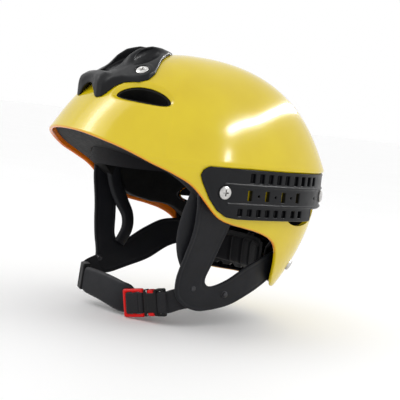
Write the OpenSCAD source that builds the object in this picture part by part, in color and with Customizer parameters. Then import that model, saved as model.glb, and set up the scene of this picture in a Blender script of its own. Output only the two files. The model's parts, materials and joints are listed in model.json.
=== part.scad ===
// Water rescue helmet: moulded shell, accessory rails, front clip, foam liner,
// four-point harness, chin strap with side-release buckle and dial fit band.
// Millimetres. Z up, brim towards -Y, wearer's left towards +X, centred on X = 0.
// The origin is the seat of the head: 21 mm under the shell's crease line.

/* [Shell] */
// Brim reach in front of the widest section
front_reach = 143; // [130:0.2:160]
// Rear reach behind the widest section
rear_reach = 130.9; // [120:0.2:145]
// Half width at the crease
half_width = 106; // [98:0.5:112]
// Crown height over the head seat
crown_height = 117.2; // [108:0.2:128]
// Crown position along Y
crown_y = -13.6; // [-25:0.2:0]
// Crease height at the sides and rear
crease_z = 21; // [15:0.5:28]
// Brim lip height at the front
brim_z = 37.4; // [28:0.2:42]
// Squareness of the plan outline
plan_power = 2.39; // [2:0.01:2.8]
// Shell wall
wall = 4; // [3:0.1:5]

/* [Rails] */
// Rail plate thickness
rail_wall = 4.8; // [4:0.1:6]
// Rail top
rail_top = 19; // [15:0.5:20]
// Rail bottom
rail_bottom = -25.5; // [-30:0.5:-20]
// Screw head diameter
screw_head = 11.5; // [9:0.1:13]

/* [Buckle] */
// Webbing width
webbing = 20; // [18:0.5:25]
// Webbing thickness
webbing_wall = 1.6; // [1:0.1:2.5]

/* [Fit dial] */
// Knob diameter
knob_diameter = 32; // [26:0.5:38]
// Pinion diameter
pinion_diameter = 10; // [8:0.5:14]

/* [Hidden] */
$fn = 48;
n_col = 72;
top_rows = [0.09, 0.18, 0.28, 0.38, 0.48, 0.58, 0.68, 0.78, 0.89, 1];
drop_rows = [1.6, 3.6, 9, 17, 27, 38, 50, 62, 76, 91, 106, 122];

// ---- shell surface: azimuth a from the front, o = inward offset -------------------------------
function fold(a) = a > 180 ? 360 - a : a;
function plan_r(a, o) =
  1 / pow(pow(abs(sin(a)) / (half_width - o), plan_power)
        + pow(abs(cos(a)) / ((cos(a) > 0 ? front_reach : rear_reach) - o), plan_power), 1 / plan_power);
function crease(a) = crease_z + (brim_z - crease_z) * max(0, (cos(a) - 0.707) / 0.293);
function mix3(a, f, s, r) =
  let (c = cos(a), w = c * c) (c > 0 ? f : r) * w + s * (1 - w);
function step_in(a) = lookup(fold(a), [[0, 0], [45, 0], [60, 1.2], [72, 3.6], [85, 6], [120, 6.6], [180, 6]]);
function lean1(a) = lookup(fold(a), [[0, -0.6], [30, -0.5], [48, -0.15], [60, 0.02], [75, 0.02], [90, 0], [130, -0.09],
                                     [150, -0.12], [180, -0.12]]);
function lean2(a) = lookup(fold(a), [[0, 0], [60, 0], [75, 0.0005], [90, 0.0009], [110, 0.002], [130, 0.0028],
                                     [150, 0.0033], [180, 0.0033]]);
function rim_xy(a, o) = [plan_r(a, o) * sin(a), -plan_r(a, o) * cos(a)];
function top_point(a, t, o) =
  let (rim = rim_xy(a, o), cr = [0, crown_y], v = rim - cr, len = norm(v), z = crease(a), hh = crown_height - o,
       h1 = mix3(a, 0.662, 0.606, 0.728) * len, ang = mix3(a, 57.7, 64.8, 67.3),
       ln = mix3(a, 0.407, 0.400, 0.395) * (hh - z), u = 1 - t,
       r = 3 * u * u * t * h1 + 3 * u * t * t * (len - ln * cos(ang)) + t * t * t * len,
       zz = u * u * u * hh + 3 * u * u * t * hh + 3 * u * t * t * (z + ln * sin(ang)) + t * t * t * z)
  [cr[0] + v[0] / len * r, cr[1] + v[1] / len * r, zz];
function inset(a, d) = step_in(a) * min(1, d / 3.6) + lean1(a) * d + lean2(a) * d * d;
function drop_point(a, d, o) =
  let (r = plan_r(a, o) - inset(a, d)) [r * sin(a), -r * cos(a), crease(a) - d];
function shell_rings(o, cols) = concat([[0, crown_y, crown_height - o]],
  [for (t = top_rows) for (i = [0 : cols - 1]) top_point(i * 360 / cols, t, o)],
  [for (d = drop_rows) for (i = [0 : cols - 1]) drop_point(i * 360 / cols, d, o)]);

// ---- liner's inner surface ---------------------------------------------------------------------
function in_r(a, o) = 1 / pow(pow(abs(sin(a)) / (80 - o), 2.3)
                            + pow(abs(cos(a)) / ((cos(a) > 0 ? 101 : 97) - o), 2.3), 1 / 2.3);
function in_z(a) = 8;
function in_top(a, t, o) =
  let (r0 = in_r(a, o), z = in_z(a), hh = 90 - o, u = 1 - t)
  [sin(a) * (3 * u * u * t * 0.58 * r0 + 3 * u * t * t * r0 * 0.985 + t * t * t * r0),
   -cos(a) * (3 * u * u * t * 0.58 * r0 + 3 * u * t * t * r0 * 0.985 + t * t * t * r0) - 4 * u,
   hh * (u * u * u + 3 * u * u * t) + 3 * u * t * t * (z + (hh - z) * 0.55) + t * t * t * z];
function in_drop(a, d, o) =
  let (r = in_r(a, o) - 0.0012 * d * d * (cos(a) < 0 ? -cos(a) : 0)) [r * sin(a), -r * cos(a), in_z(a) - d];
function liner_rings(o, cols) = concat([[0, -4, 90 - o]],
  [for (t = top_rows) for (i = [0 : cols - 1]) in_top(i * 360 / cols, t, o)],
  [for (d = drop_rows) for (i = [0 : cols - 1]) in_drop(i * 360 / cols, d * 0.9, o)]);

// closed body between an outer and an inner set of rings, each led by its pole
module between(outer, inner, cols) {
  n = len(outer);
  rows = (n - 1) / cols;
  out_faces = concat(
    [for (j = [0 : cols - 1]) [0, 1 + (j + 1) % cols, 1 + j]],
    [for (i = [0 : rows - 2]) for (j = [0 : cols - 1]) let (a = 1 + i * cols, b = a + cols, k = (j + 1) % cols)
      each [[a + j, a + k, b + k], [a + j, b + k, b + j]]]);
  in_faces = [for (f = out_faces) [f[2] + n, f[1] + n, f[0] + n]];
  base = 1 + (rows - 1) * cols;
  rim = [for (j = [0 : cols - 1]) let (k = (j + 1) % cols)
    each [[base + j, base + k, n + base + k], [base + j, n + base + k, n + base + j]]];
  polyhedron(points = concat(outer, inner), faces = concat(out_faces, in_faces, rim), convexity = 8);
}

// closed slab between two equal open grids of rows x cols points
module slab(p, q, cols) {
  n = len(p);
  rows = n / cols;
  up = [for (i = [0 : rows - 2]) for (j = [0 : cols - 2]) let (a = i * cols + j, b = a + cols)
    each [[a, a + 1, b + 1], [a, b + 1, b]]];
  dn = [for (f = up) [f[2] + n, f[1] + n, f[0] + n]];
  e1 = [for (j = [0 : cols - 2]) each [[j + 1, j, n + j], [j + 1, n + j, n + j + 1]]];
  l = (rows - 1) * cols;
  e2 = [for (j = [0 : cols - 2]) each [[l + j, l + j + 1, n + l + j + 1], [l + j, n + l + j + 1, n + l + j]]];
  e3 = [for (i = [0 : rows - 2]) let (a = i * cols, b = a + cols) each [[a, b, n + b], [a, n + b, n + a]]];
  e4 = [for (i = [0 : rows - 2]) let (a = i * cols + cols - 1, b = a + cols)
    each [[b, a, n + a], [b, n + a, n + b]]];
  polyhedron(points = concat(p, q), faces = concat(up, dn, e1, e2, e3, e4), convexity = 6);
}

// flat strap through centres c with half-width vectors w and half-thickness vectors t
module strap(c, w, t) {
  slab([for (i = [0 : len(c) - 1]) for (s = [-1, 1]) c[i] + s * w[i] + t[i]],
       [for (i = [0 : len(c) - 1]) for (s = [-1, 1]) c[i] + s * w[i] - t[i]], 2);
}

module mirror_x() { mirror([1, 0, 0]) children(); }

// ---- placing helpers ---------------------------------------------------------------------------
rail_c1 = [-189.51, -2.72];
rail_r1 = 294.2;
rail_turn = 10.225;
rail_c2 = [-1.06, 31.27];
rail_r2 = 102.7;
module on_arc1(a, z) { translate([rail_c1[0], rail_c1[1], z]) rotate([0, 0, a]) translate([rail_r1, 0, 0]) children(); }
module on_arc2(a, z) { translate([rail_c2[0], rail_c2[1], z]) rotate([0, 0, a]) translate([rail_r2, 0, 0]) children(); }
screw_a = -5.72;
screw_b = 43.2;
screw_z = -2.5;
module at_screw_a() { on_arc1(screw_a, screw_z) rotate([0, 90, 0]) children(); }
module at_screw_b() { on_arc2(screw_b, screw_z) rotate([0, 90, 0]) children(); }
rivet_at = [59.6, 81.6, -71];
module at_rivet() { translate(rivet_at) rotate([0, 0, 51]) rotate([0, 118, 0]) children(); }
clip_screw = [33.4, -86.4, 94];
module at_clip_screw() { translate(clip_screw) rotate([0, 0, -58]) rotate([0, 36, 0]) children(); }

// ---- shell -------------------------------------------------------------------------------------
shell_rim = [[-260, 46], [-170, 42], [-150, 42], [-143, 38.6], [-132, 32.6], [-120, 27.2], [-99, 16.8], [-84, 11],
  [-67, 3.4], [-59, -2], [-53, -7.5], [-46, -14.5], [-38, -22], [-32, -26.3], [-25, -29.2], [-14, -32], [8, -36],
  [22, -39.5], [31, -43], [39, -48], [45, -55], [49, -65], [53, -78], [57, -87], [63, -92.5], [70, -95.5],
  [80, -96], [100, -95], [150, -93]];
module below_rim(rim, depth) {
  rotate([90, 0, 90]) translate([0, 0, -130]) linear_extrude(height = 260)
    polygon(concat(rim, [[150, -depth], [-260, -depth]]));
}
vent_u = [0.6836, 0.7268, -0.0664];
vent_n = [0.4732, -0.5092, 0.7188];
vent_v = cross(vent_n, vent_u);
module front_vent(a, b, len) {
  multmatrix([[vent_u[0], vent_v[0], vent_n[0], 51.5], [vent_u[1], vent_v[1], vent_n[1], -94.5],
              [vent_u[2], vent_v[2], vent_n[2], 74.5], [0, 0, 0, 1]])
    scale([a, b, 1]) cylinder(r = 1, h = len, center = true, $fn = 36);
}
module rear_vent(a, b, len) {
  translate([82.2, 68.5, -22]) rotate([0, 0, 37]) rotate([0, 90, 0]) rotate([0, 0, 4])
    scale([b, a, 1]) cylinder(r = 1, h = len, center = true, $fn = 32);
}
module outer_shell() {
  color([0.87, 0.78, 0.16]) difference() {
    resize([0, 0, 0]) difference() {
      between(shell_rings(0, n_col), shell_rings(wall, n_col), n_col);
      below_rim(shell_rim, 140);
      front_vent(24.6, 9.1, 60);
      mirror_x() front_vent(24.6, 9.1, 60);
      rear_vent(26, 8.4, 46);
      mirror_x() rear_vent(26, 8.4, 46);
    }
    for (m = [0, 1]) mirror([m, 0, 0]) {
      at_screw_a() cylinder(d = 5.4, h = 60, center = true);
      at_screw_b() cylinder(d = 5.4, h = 60, center = true);
      at_rivet() cylinder(d = 5.4, h = 30, center = true);
      at_clip_screw() cylinder(d = 5.4, h = 40, center = true);
    }
  }
}

// ---- liner and pads ----------------------------------------------------------------------------
liner_rim = [[-260, 51], [-170, 48], [-146, 44], [-137, 39.5], [-120, 31], [-99, 20.5], [-84, 14.5], [-67, 7],
  [-57, 0], [-48, -8], [-38, -16], [-26, -24], [-14, -28.5], [8, -33], [22, -34], [31, -36], [40, -41],
  [47, -48], [56, -51], [150, -51]];
module foam_liner() {
  color([0.1, 0.1, 0.11]) resize([0, 0, 0]) difference() {
    between(shell_rings(wall + 0.4, 48), liner_rings(0, 48), 48);
    below_rim(liner_rim, 140);
    front_vent(22, 7, 70);
    mirror_x() front_vent(22, 7, 70);
    rear_vent(27, 9.4, 60);
    mirror_x() rear_vent(27, 9.4, 60);
    translate([82.5, -51, -45]) cube([40, 45, 53]);
    translate([70.5, -50.5, -45]) cube([20, 24, 51.5]);
    translate([-122.5, -55, -45]) cube([40, 37, 53]);
    translate([-90.5, -46.5, -45]) cube([20, 24, 50.5]);
    for (m = [0, 1]) mirror([m, 0, 0]) {
      at_screw_a() cylinder(d = 13, h = 30, center = true, $fn = 16);
      at_screw_b() cylinder(d = 13, h = 44, center = true, $fn = 16);
      at_clip_screw() cylinder(d = 13, h = 40, center = true, $fn = 16);
    }
  }
}
function pad_grid(a0, a1, t0, t1, o, na, nt) =
  [for (i = [0 : nt]) for (j = [0 : na])
    let (s = t0 + (t1 - t0) * i / nt, a = a0 + (a1 - a0) * j / na)
    s <= 1 ? in_top(a, s, o) : in_drop(a, (s - 1) * 100, o)];
module pad(a0, a1, t0, t1, thick, na, nt) {
  slab(pad_grid(a0, a1, t0, t1, 0.5, na, nt), pad_grid(a0, a1, t0, t1, 0.5 + thick, na, nt), na + 1);
}
module crown_pad() {
  color([0.16, 0.16, 0.17]) union() {
    pad(-28, 28, 0.12, 0.52, 6, 6, 5);
    pad(152, 208, 0.12, 0.52, 6, 6, 5);
  }
}
module forehead_pad() { color([0.16, 0.16, 0.17]) pad(-58, 58, 0.74, 1.02, 6.5, 14, 5); }
module left_side_pad() { color([0.16, 0.16, 0.17]) pad(72, 112, 0.7, 1.06, 6, 6, 5); }
module right_side_pad() { color([0.16, 0.16, 0.17]) mirror_x() pad(72, 112, 0.7, 1.06, 6, 6, 5); }

// ---- rails -------------------------------------------------------------------------------------
function arc_line(o, end2, start1) = concat(
  [for (i = [0 : 8]) let (a = start1 + (rail_turn - start1) * i / 8)
    [rail_c1[0] + (rail_r1 + o) * cos(a), rail_c1[1] + (rail_r1 + o) * sin(a)]],
  [for (i = [1 : 16]) let (a = rail_turn + (end2 - rail_turn) * i / 16)
    [rail_c2[0] + (rail_r2 + o) * cos(a), rail_c2[1] + (rail_r2 + o) * sin(a)]]);
module arc_band(r_in, r_out, z0, z1, end2, start1 = -9.6) {
  inner = arc_line(r_in, end2, start1);
  translate([0, 0, z0]) linear_extrude(height = z1 - z0)
    polygon(concat(arc_line(r_out, end2, start1), [for (i = [len(inner) - 1 : -1 : 0]) inner[i]]));
}
rail_nose = [[-90, 60], [-50, 60], [-50, 19.6], [-53, 19], [-60, 15], [-61.5, 11.5], [-58, 5.6], [-48.2, -8.4],
             [-37.4, -18.7], [-26.6, -24.7], [-16, -26], [-16, -60], [-90, -60]];
module side_rail() {
  difference() {
    resize([0, 0, 0]) difference() {
      union() {
        arc_band(-rail_wall, 0, -14.4, rail_top, 57.5, -12);
        arc_band(-rail_wall, 0, rail_bottom, -14, 28.5, -12);
        arc_band(-0.6, 1.4, 3.6, 6, 56.5, -8);
        arc_band(-0.6, 1.4, -13.4, -11.2, 56.5, -5.5);
      }
      rotate([90, 0, 90]) translate([0, 0, 60]) linear_extrude(height = 80) polygon(rail_nose);
      between(shell_rings(-0.2, n_col), shell_rings(14, n_col), n_col);
      // upper and lower windows
      for (a = [-0.2, 1.82, 3.84, 5.87, 7.9]) on_arc1(a, 11.8) cube([20, 5.4, 8.6], center = true);
      for (a = [10.3, 16.1, 21.9, 27.6]) on_arc2(a, 11.8) cube([20, 5.4, 8.6], center = true);
      for (a = [-2.2, -0.2, 1.82, 3.84, 5.87, 7.9]) on_arc1(a, -19.8) cube([20, 5.4, 7], center = true);
      for (a = [10.3, 16.1]) on_arc2(a, -19.8) cube([20, 5.4, 7], center = true);
      // centre slots with small holes between them
      for (a = [-0.44, 3.45, 7.35]) on_arc1(a, -4) cube([20, 4.6, 9.5], center = true);
      on_arc2(12.9, -4) cube([20, 4.6, 9.5], center = true);
      for (a = [1.5, 5.4, 9.3]) on_arc1(a, -4) rotate([0, 90, 0]) cylinder(d = 2.4, h = 20, center = true, $fn = 16);
      on_arc2(30.7, -4) rotate([0, 90, 0]) cylinder(d = 2.4, h = 20, center = true, $fn = 16);
    }
    at_screw_a() cylinder(d = 5.4, h = 30, center = true);
    at_screw_b() cylinder(d = 5.4, h = 30, center = true);
  }
}
module left_rail() { color([0.13, 0.13, 0.14]) side_rail(); }
module right_rail() { color([0.13, 0.13, 0.14]) mirror_x() side_rail(); }
module screw(len) {
  difference() {
    union() {
      cylinder(d = screw_head, h = 1.6);
      translate([0, 0, 1.6]) cylinder(d1 = screw_head, d2 = screw_head - 3, h = 0.9);
      translate([0, 0, -len]) cylinder(d = 5, h = len);
      translate([0, 0, -len]) cylinder(d = 9.5, h = 2.6);
    }
    translate([0, 0, 1.2]) cube([6, 1.2, 3], center = true);
    translate([0, 0, 1.2]) cube([1.2, 6, 3], center = true);
  }
}
module rail_screws() {
  at_screw_a() translate([0, 0, 0.1]) screw(20);
  at_screw_b() translate([0, 0, 0.1]) screw(17);
}
module left_rail_screws() { color([0.75, 0.75, 0.76]) rail_screws(); }
module right_rail_screws() { color([0.75, 0.75, 0.76]) mirror_x() rail_screws(); }

// ---- front accessory clip ----------------------------------------------------------------------
clip_outline = [[7, -40], [14, -50], [27, -64], [37, -73], [43, -79], [45, -87], [42, -94], [36, -99], [31, -104],
  [27, -110], [25, -116], [20, -120], [13, -119], [10, -115], [9, -108]];
function both(p) = concat(p, [for (i = [len(p) - 1 : -1 : 0]) [-p[i][0], p[i][1]]]);
module clip_skin(o1, o2, grow = 0) {
  slab([for (i = [0 : 14]) for (j = [0 : 16]) top_point(-68 + j * 8.5, 0.12 + i * 0.058, -o2 - grow * i / 14)],
       [for (i = [0 : 14]) for (j = [0 : 16]) top_point(-68 + j * 8.5, 0.12 + i * 0.058, -o1)], 17);
}
module clip_prism(p) { translate([0, 0, 50]) linear_extrude(height = 90) polygon(p); }
module front_bracket() {
  color([0.12, 0.12, 0.13]) difference() {
    resize([0, 0, 0]) difference() {
      union() {
        intersection() { clip_skin(0.4, 5.5, 4); clip_prism(both(clip_outline)); }
        intersection() {
          clip_skin(3, 6, 14);
          clip_prism([[5, -44], [10, -58], [12, -96], [22, -112], [24, -121], [-24, -121], [-22, -112], [-12, -96],
                      [-10, -58], [-5, -44]]);
        }
      }
      for (m = [0, 1]) mirror([m, 0, 0]) intersection() {
        clip_skin(3, 24);
        clip_prism([[12, -62], [22, -70], [24, -78], [21, -92], [17, -103], [13, -100]]);
      }
      intersection() { clip_skin(6, 24); clip_prism([[-4.5, -92], [4.5, -92], [4.5, -62], [-4.5, -62]]); }
      // strap arch under the front lip
      translate([0, -124, 73]) rotate([52, 0, 0]) scale([1, 0.62, 1]) cylinder(r = 16, h = 42, center = true, $fn = 32);
    }
    for (m = [0, 1]) mirror([m, 0, 0]) at_clip_screw() {
      cylinder(d = 5.4, h = 60, center = true);
      translate([0, 0, 1.4]) cylinder(d = screw_head + 1, h = 20);
    }
  }
}
module bracket_screws() {
  color([0.75, 0.75, 0.76]) for (m = [0, 1]) mirror([m, 0, 0]) at_clip_screw() translate([0, 0, 1.45]) screw(15);
}

// ---- rivets, harness, eyelets ------------------------------------------------------------------
module rivet() {
  cylinder(d = 11, h = 1.2);
  translate([0, 0, 1.2]) cylinder(d1 = 11, d2 = 6, h = 1.2);
  translate([0, 0, -11]) cylinder(d = 5, h = 11.2);
  translate([0, 0, -11]) cylinder(d = 10, h = 1.4);
}
module left_rear_rivet() { color([0.78, 0.78, 0.78]) at_rivet() translate([0, 0, 4]) rivet(); }
module right_rear_rivet() { color([0.78, 0.78, 0.78]) mirror_x() at_rivet() translate([0, 0, 4]) rivet(); }

front_leg = [[90, -30, 6], [89, -28, -8], [84.5, -26, -27], [77.5, -26.5, -47], [71, -29.3, -68], [66, -31.8, -88],
  [62.5, -29, -103]];
front_half = [16, 18.5, 19.5, 17.8, 16.6, 15.2, 11];
rear_leg = [[62.5, -24, -104], [64, -6, -105], [66, 14, -99], [68, 32, -88], [67, 48, -78], [62, 64, -73],
  [55, 75, -71]];
rear_half = [12, 12.5, 12, 11.5, 11, 10.5, 10];
module leg(c, half, dirs, t) {
  strap(c, [for (i = [0 : len(c) - 1]) dirs[i] * half[i]],
    [for (i = [0 : len(c) - 1])
      let (f = c[min(i + 1, len(c) - 1)] - c[max(i - 1, 0)], m = cross(f, dirs[i])) m / norm(m) * t / 2]);
}
front_dirs = [[0.1, 0.99, 0.05], [0.08, 0.99, 0.05], [0.05, 0.99, 0.05], [0, 1, 0.02], [0, 1, -0.02], [0, 1, -0.05],
  [0, 0.98, -0.2]];
rear_dirs = [[0, -0.1, 1], [0, 0.1, 1], [0, 0.4, 0.92], [0, 0.5, 0.87], [0.1, 0.36, 0.93], [0.14, 0.14, 0.98],
  [0.1, 0, 1]];
module side_harness() {
  resize([0, 0, 0]) union() {
    leg(front_leg, front_half, front_dirs, 3);
    leg(rear_leg, rear_half, rear_dirs, 3);
  }
}
module harness_holes() {
  at_screw_a() translate([0, 0, -14]) cylinder(d = 10.2, h = 40, center = true, $fn = 24);
  at_rivet() cylinder(d = 10.6, h = 40, center = true, $fn = 24);
}
module left_harness() { color([0.15, 0.15, 0.17]) difference() { side_harness(); harness_holes(); } }
right_front_leg = [[89.4, -36, 5], [88, -39, -8], [81.5, -44, -28], [76, -47, -50], [70.5, -49, -70],
  [65, -53, -86], [62.5, -58, -95]];
right_front_half = [14, 15, 14, 13, 12.5, 12, 9];
right_rear_leg = [[64, -44, -88], [66, -24, -83.5], [68, -2, -75], [69.6, 22, -63.5], [68.2, 42, -61], [62.6, 59, -66],
  [55, 75, -71]];
right_rear_half = [11, 13, 13.5, 12.5, 11.5, 10.5, 10];
right_front_dirs = [[0.1, 0.99, 0.05], [0.08, 0.99, 0.05], [0.05, 0.99, 0.02], [0, 1, -0.05], [0, 0.99, -0.12],
  [0, 0.93, -0.35], [0, 0.85, -0.5]];
right_rear_dirs = [[0, 0.1, 1], [0, 0.3, 0.95], [0, 0.42, 0.9], [0, 0.35, 0.93], [0.05, 0.05, 1], [0.1, -0.15, 0.98],
  [0.1, -0.1, 0.99]];
module right_harness() {
  color([0.15, 0.15, 0.17]) mirror_x() difference() {
    resize([0, 0, 0]) union() {
      leg(right_front_leg, right_front_half, right_front_dirs, 3);
      leg(right_rear_leg, right_rear_half, right_rear_dirs, 3);
    }
    harness_holes();
  }
}
inner_path = [[78, -38, 4], [75, -40, -12], [70, -42, -30], [66, -41, -48], [62, -36, -64], [60, -31, -76]];
module inner_strap() {
  leg(inner_path, [8, 9, 10, 10, 9, 7], [for (i = [0 : 5]) [0.25, 0.95, -0.1]], 6);
}
module left_inner_strap() { color([0.13, 0.13, 0.14]) inner_strap(); }
right_inner_path = [[79, -38, 3], [77, -33, -16], [74, -29, -32], [70, -27.5, -46], [66, -30, -60], [63.5, -37, -72]];
module right_inner_strap() {
  color([0.13, 0.13, 0.14]) mirror_x()
    leg(right_inner_path, [6, 6.5, 7, 7, 7, 6], [for (i = [0 : 5]) [0.15, 0.98, 0.1]], 6);
}
module stud() {
  cylinder(d = 5, h = 4.2, center = true);
  cylinder(d = 7, h = 1, center = true);
}
module left_studs() {
  color([0.6, 0.6, 0.6]) for (p = [[64.8, -28, -95], [65.6, 8, -101]]) translate(p) rotate([0, 90, 0])
    stud();
}
module right_studs() {
  color([0.6, 0.6, 0.6]) for (p = [[-63.5, -57, -90.5], [-64.7, -37, -96]]) translate(p) rotate([0, 90, 0])
    stud();
}

// ---- dial fit band -----------------------------------------------------------------------------
band_r = 77;
dial_z = -66;
dial_y = 77.2;
module arc_wall(r0, r1, z0, z1, half) {
  rotate([0, 0, 90 - half]) rotate_extrude(angle = 2 * half, $fn = 180)
    translate([r0, z0]) square([r1 - r0, z1 - z0]);
}
nape_line = [[49, 61.6, -70], [50.6, 62.6, -58], [54, 66, -50], [55.8, 69.2, -45]];
module nape_straps() {
  color([0.14, 0.14, 0.15]) for (m = [0, 1]) mirror([m, 0, 0])
    leg(nape_line, [6, 6, 6, 6], [for (i = [0 : 3]) [-0.78, 0.62, 0.05]], 1.4);
}
module nape_cradle() {
  color([0.12, 0.12, 0.13]) difference() {
    union() {
      arc_wall(band_r - 2.6, band_r, -88, -52, 44);
      translate([0, band_r - 1.4, dial_z]) rotate([-90, 0, 0]) cylinder(d = 24, h = 1.6);
    }
    for (a = [-36 : 12 : 36]) rotate([0, 0, a]) translate([0, band_r, -90]) rotate([90, 0, 0])
      cylinder(d = 9, h = 20, center = true, $fn = 24);
    for (a = [-30, -18, 18, 30]) rotate([0, 0, a]) translate([0, band_r, -66]) cube([7, 20, 14], center = true);
    translate([0, band_r - 4, dial_z]) rotate([-90, 0, 0]) cylinder(d = 5, h = 12);
  }
}
module nape_pad() { color([0.16, 0.16, 0.17]) arc_wall(band_r - 7.2, band_r - 2.8, -84, -56, 34); }
module adjuster_knob() {
  color([0.13, 0.13, 0.14]) difference() {
    translate([0, 0, dial_z]) union() {
      translate([0, band_r - 2.4, 0]) rotate([-90, 0, 0]) cylinder(d = 4.2, h = 7.4);
      translate([0, dial_y + 0.8, 0]) rotate([-90, 0, 0]) cylinder(d = pinion_diameter, h = 3.4);
      translate([0, dial_y + 3.6, 0]) rotate([-90, 0, 0]) cylinder(d = knob_diameter, h = 6);
      translate([0, dial_y + 9.6, 0]) rotate([-90, 0, 0]) cylinder(d1 = knob_diameter, d2 = knob_diameter - 5, h = 2);
    }
    for (a = [0 : 30 : 330]) translate([0, dial_y + 2, dial_z]) rotate([0, a, 0])
      translate([knob_diameter / 2 + 0.6, 0, 0]) rotate([-90, 0, 0]) cylinder(d = 5, h = 12, $fn = 24);
    for (a = [0 : 36 : 324]) translate([0, dial_y + 0.5, dial_z]) rotate([0, a, 0])
      translate([pinion_diameter / 2, 0, 0]) rotate([-90, 0, 0]) cylinder(d = 1.4, h = 2.9, $fn = 16);
  }
}
module rack() {
  difference() {
    translate([-12, dial_y + 1.1, dial_z + pinion_diameter / 2 + 0.4]) cube([54, 1.8, 7]);
    for (i = [0 : 12]) translate([-11 + i * 3.14, dial_y, dial_z + pinion_diameter / 2]) cube([1.5, 4, 1.7]);
    translate([36, dial_y, dial_z + pinion_diameter / 2 + 4]) rotate([-90, 0, 0]) cylinder(d = 3, h = 6);
  }
}
module left_rack() { color([0.2, 0.2, 0.21]) rack(); }
module right_rack() {
  color([0.2, 0.2, 0.21]) translate([0, 0, 2 * dial_z]) rotate([0, 180, 0]) rack();
}

// ---- chin strap --------------------------------------------------------------------------------
buckle_at = [30.4, -55.5, -115.8];
buckle_s = [-0.8310, -0.5230, -0.1896];
buckle_w = [0.1605, 0.1010, -0.9819];
buckle_n = cross(buckle_s, buckle_w);
module in_buckle() {
  multmatrix([[buckle_s[0], buckle_w[0], buckle_n[0], buckle_at[0]],
              [buckle_s[1], buckle_w[1], buckle_n[1], buckle_at[1]],
              [buckle_s[2], buckle_w[2], buckle_n[2], buckle_at[2]], [0, 0, 0, 1]]) children();
}
module box(x0, x1, y0, y1, z0, z1) { translate([x0, y0, z0]) cube([x1 - x0, y1 - y0, z1 - z0]); }
function to_part(p) = buckle_at + buckle_s * p[0] + buckle_w * p[1] + buckle_n * p[2];
module bar_y(x, r, half) { translate([x, -half, 0]) rotate([-90, 0, 0]) cylinder(r = r, h = 2 * half); }
module pill(x0, x1, half, r) {
  hull() {
    bar_y(x0 + r, r, half);
    bar_y(x1 - r, r, half);
  }
}
module buckle_female() {
  color([0.12, 0.12, 0.13]) in_buckle() difference() {
    union() {
      box(-14, 0, -13, 13, -5, 5);
      box(-21, -14, -13, -10.8, -3, 3);
      box(-21, -14, 10.8, 13, -3, 3);
      bar_y(-19.6, 2, 13);
    }
    box(-12.4, 1, -11.8, 11.8, -3.1, 3.1);
    for (s = [-1, 1]) translate([-12.4, s * 12.5 - 2, -3.1]) cube([9, 4, 6.2]);
  }
}
module male_frame() {
  difference() {
    box(0.6, 22.4, -13.4, 13.4, -2.5, 2.5);
    box(3.4, 19.2, -10.6, 10.6, -4, 4);
  }
  bar_y(11, 1.8, 12);
  box(-10.5, 1, -2.6, 2.6, -2, 2);
}
module buckle_male() { color([0.85, 0.09, 0.08]) in_buckle() male_frame(); }
module prong() {
  box(-11.6, 0.3, 5.2, 7.6, -2.4, 2.4);
  box(-11.6, -4.4, 7.2, 11.4, -2.4, 2.4);
}
module upper_prong() { color([0.85, 0.09, 0.08]) in_buckle() mirror([0, 1, 0]) prong(); }
module lower_prong() { color([0.85, 0.09, 0.08]) in_buckle() prong(); }
module wrap(x, near, far, r) {
  half = webbing / 2;
  difference() {
    hull() { bar_y(x, r + 0.4 + webbing_wall, half); box(x + min(near, far), x + max(near, far), -half, half, -0.5, 0.5); }
    bar_y(x, r + 0.35, half + 1);
  }
}
strap_path = [[-60.4, -58, -95], [-62.4, -68, -101], [-60, -75.4, -106.4], [-50, -76.6, -108], [-42, -74.4, -109.2],
  [-25, -70.6, -111], [-8, -66.6, -114.2], [4, -64.4, -118]];
strap_up = [[0, -0.5, 0.86], [0.05, -0.4, 0.9], [0.1, -0.06, 0.99], [0.12, 0, 0.99], [0.1, 0, 0.99], [0.14, 0, 0.99],
  [0.2, 0, 0.98], [0.25, 0, 0.97]];
module chin_webbing() {
  color([0.11, 0.11, 0.12]) leg(strap_path, [9.5, 10, 10, 10, 10, 10, 10, 10], strap_up, webbing_wall);
}
module male_webbing() {
  color([0.11, 0.11, 0.12]) in_buckle() {
    difference() {
      hull() { bar_y(11, 4, 10); bar_y(12, 4, 10); }
      bar_y(11, 2.1, 11);
    }
  }
}
module left_webbing() {
  p0 = to_part([-24.4, 0, 0]);
  color([0.11, 0.11, 0.12]) {
    in_buckle() difference() {
      hull() { bar_y(-19.6, 4, 10); bar_y(-22.4, 1.2, 10); }
      bar_y(-19.6, 2.3, 11);
      box(-15.4, -10, -11, 11, -6, 6);
    }
    leg([to_part([-23.2, 0, 0]), [55.6, -39.5, -108], [59.4, -33, -105.5], [60.1, -24, -104.5]], [10, 10, 10, 10],
        [buckle_w, [0.1, 0.1, -1], [0.1, 0.1, -1], [0.1, 0.1, -1]], webbing_wall);
  }
}
cover_shift = [-0.22, -0.96, -0.05] * 3.7;
module chin_cover() {
  color([0.13, 0.13, 0.14])
    leg([for (p = [[-47.6, -75.8, -108.4], [-42, -74.4, -109.2], [-25, -70.6, -111], [-8, -66.6, -114.2],
                   [2, -64.8, -117.2]]) p + cover_shift], [11.5, 12.6, 13, 13, 12],
        [for (i = [3 : 7]) strap_up[i]], 4.6);
}
module strap_keeper() {
  color([0.1, 0.1, 0.11]) translate([-55.4, -75.95, -107.15]) rotate([0, 8.5, 0]) rotate([0, 0, -6.8]) difference() {
    cube([7, 7, 25], center = true);
    cube([12, 3.4, 21.4], center = true);
  }
}

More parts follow.
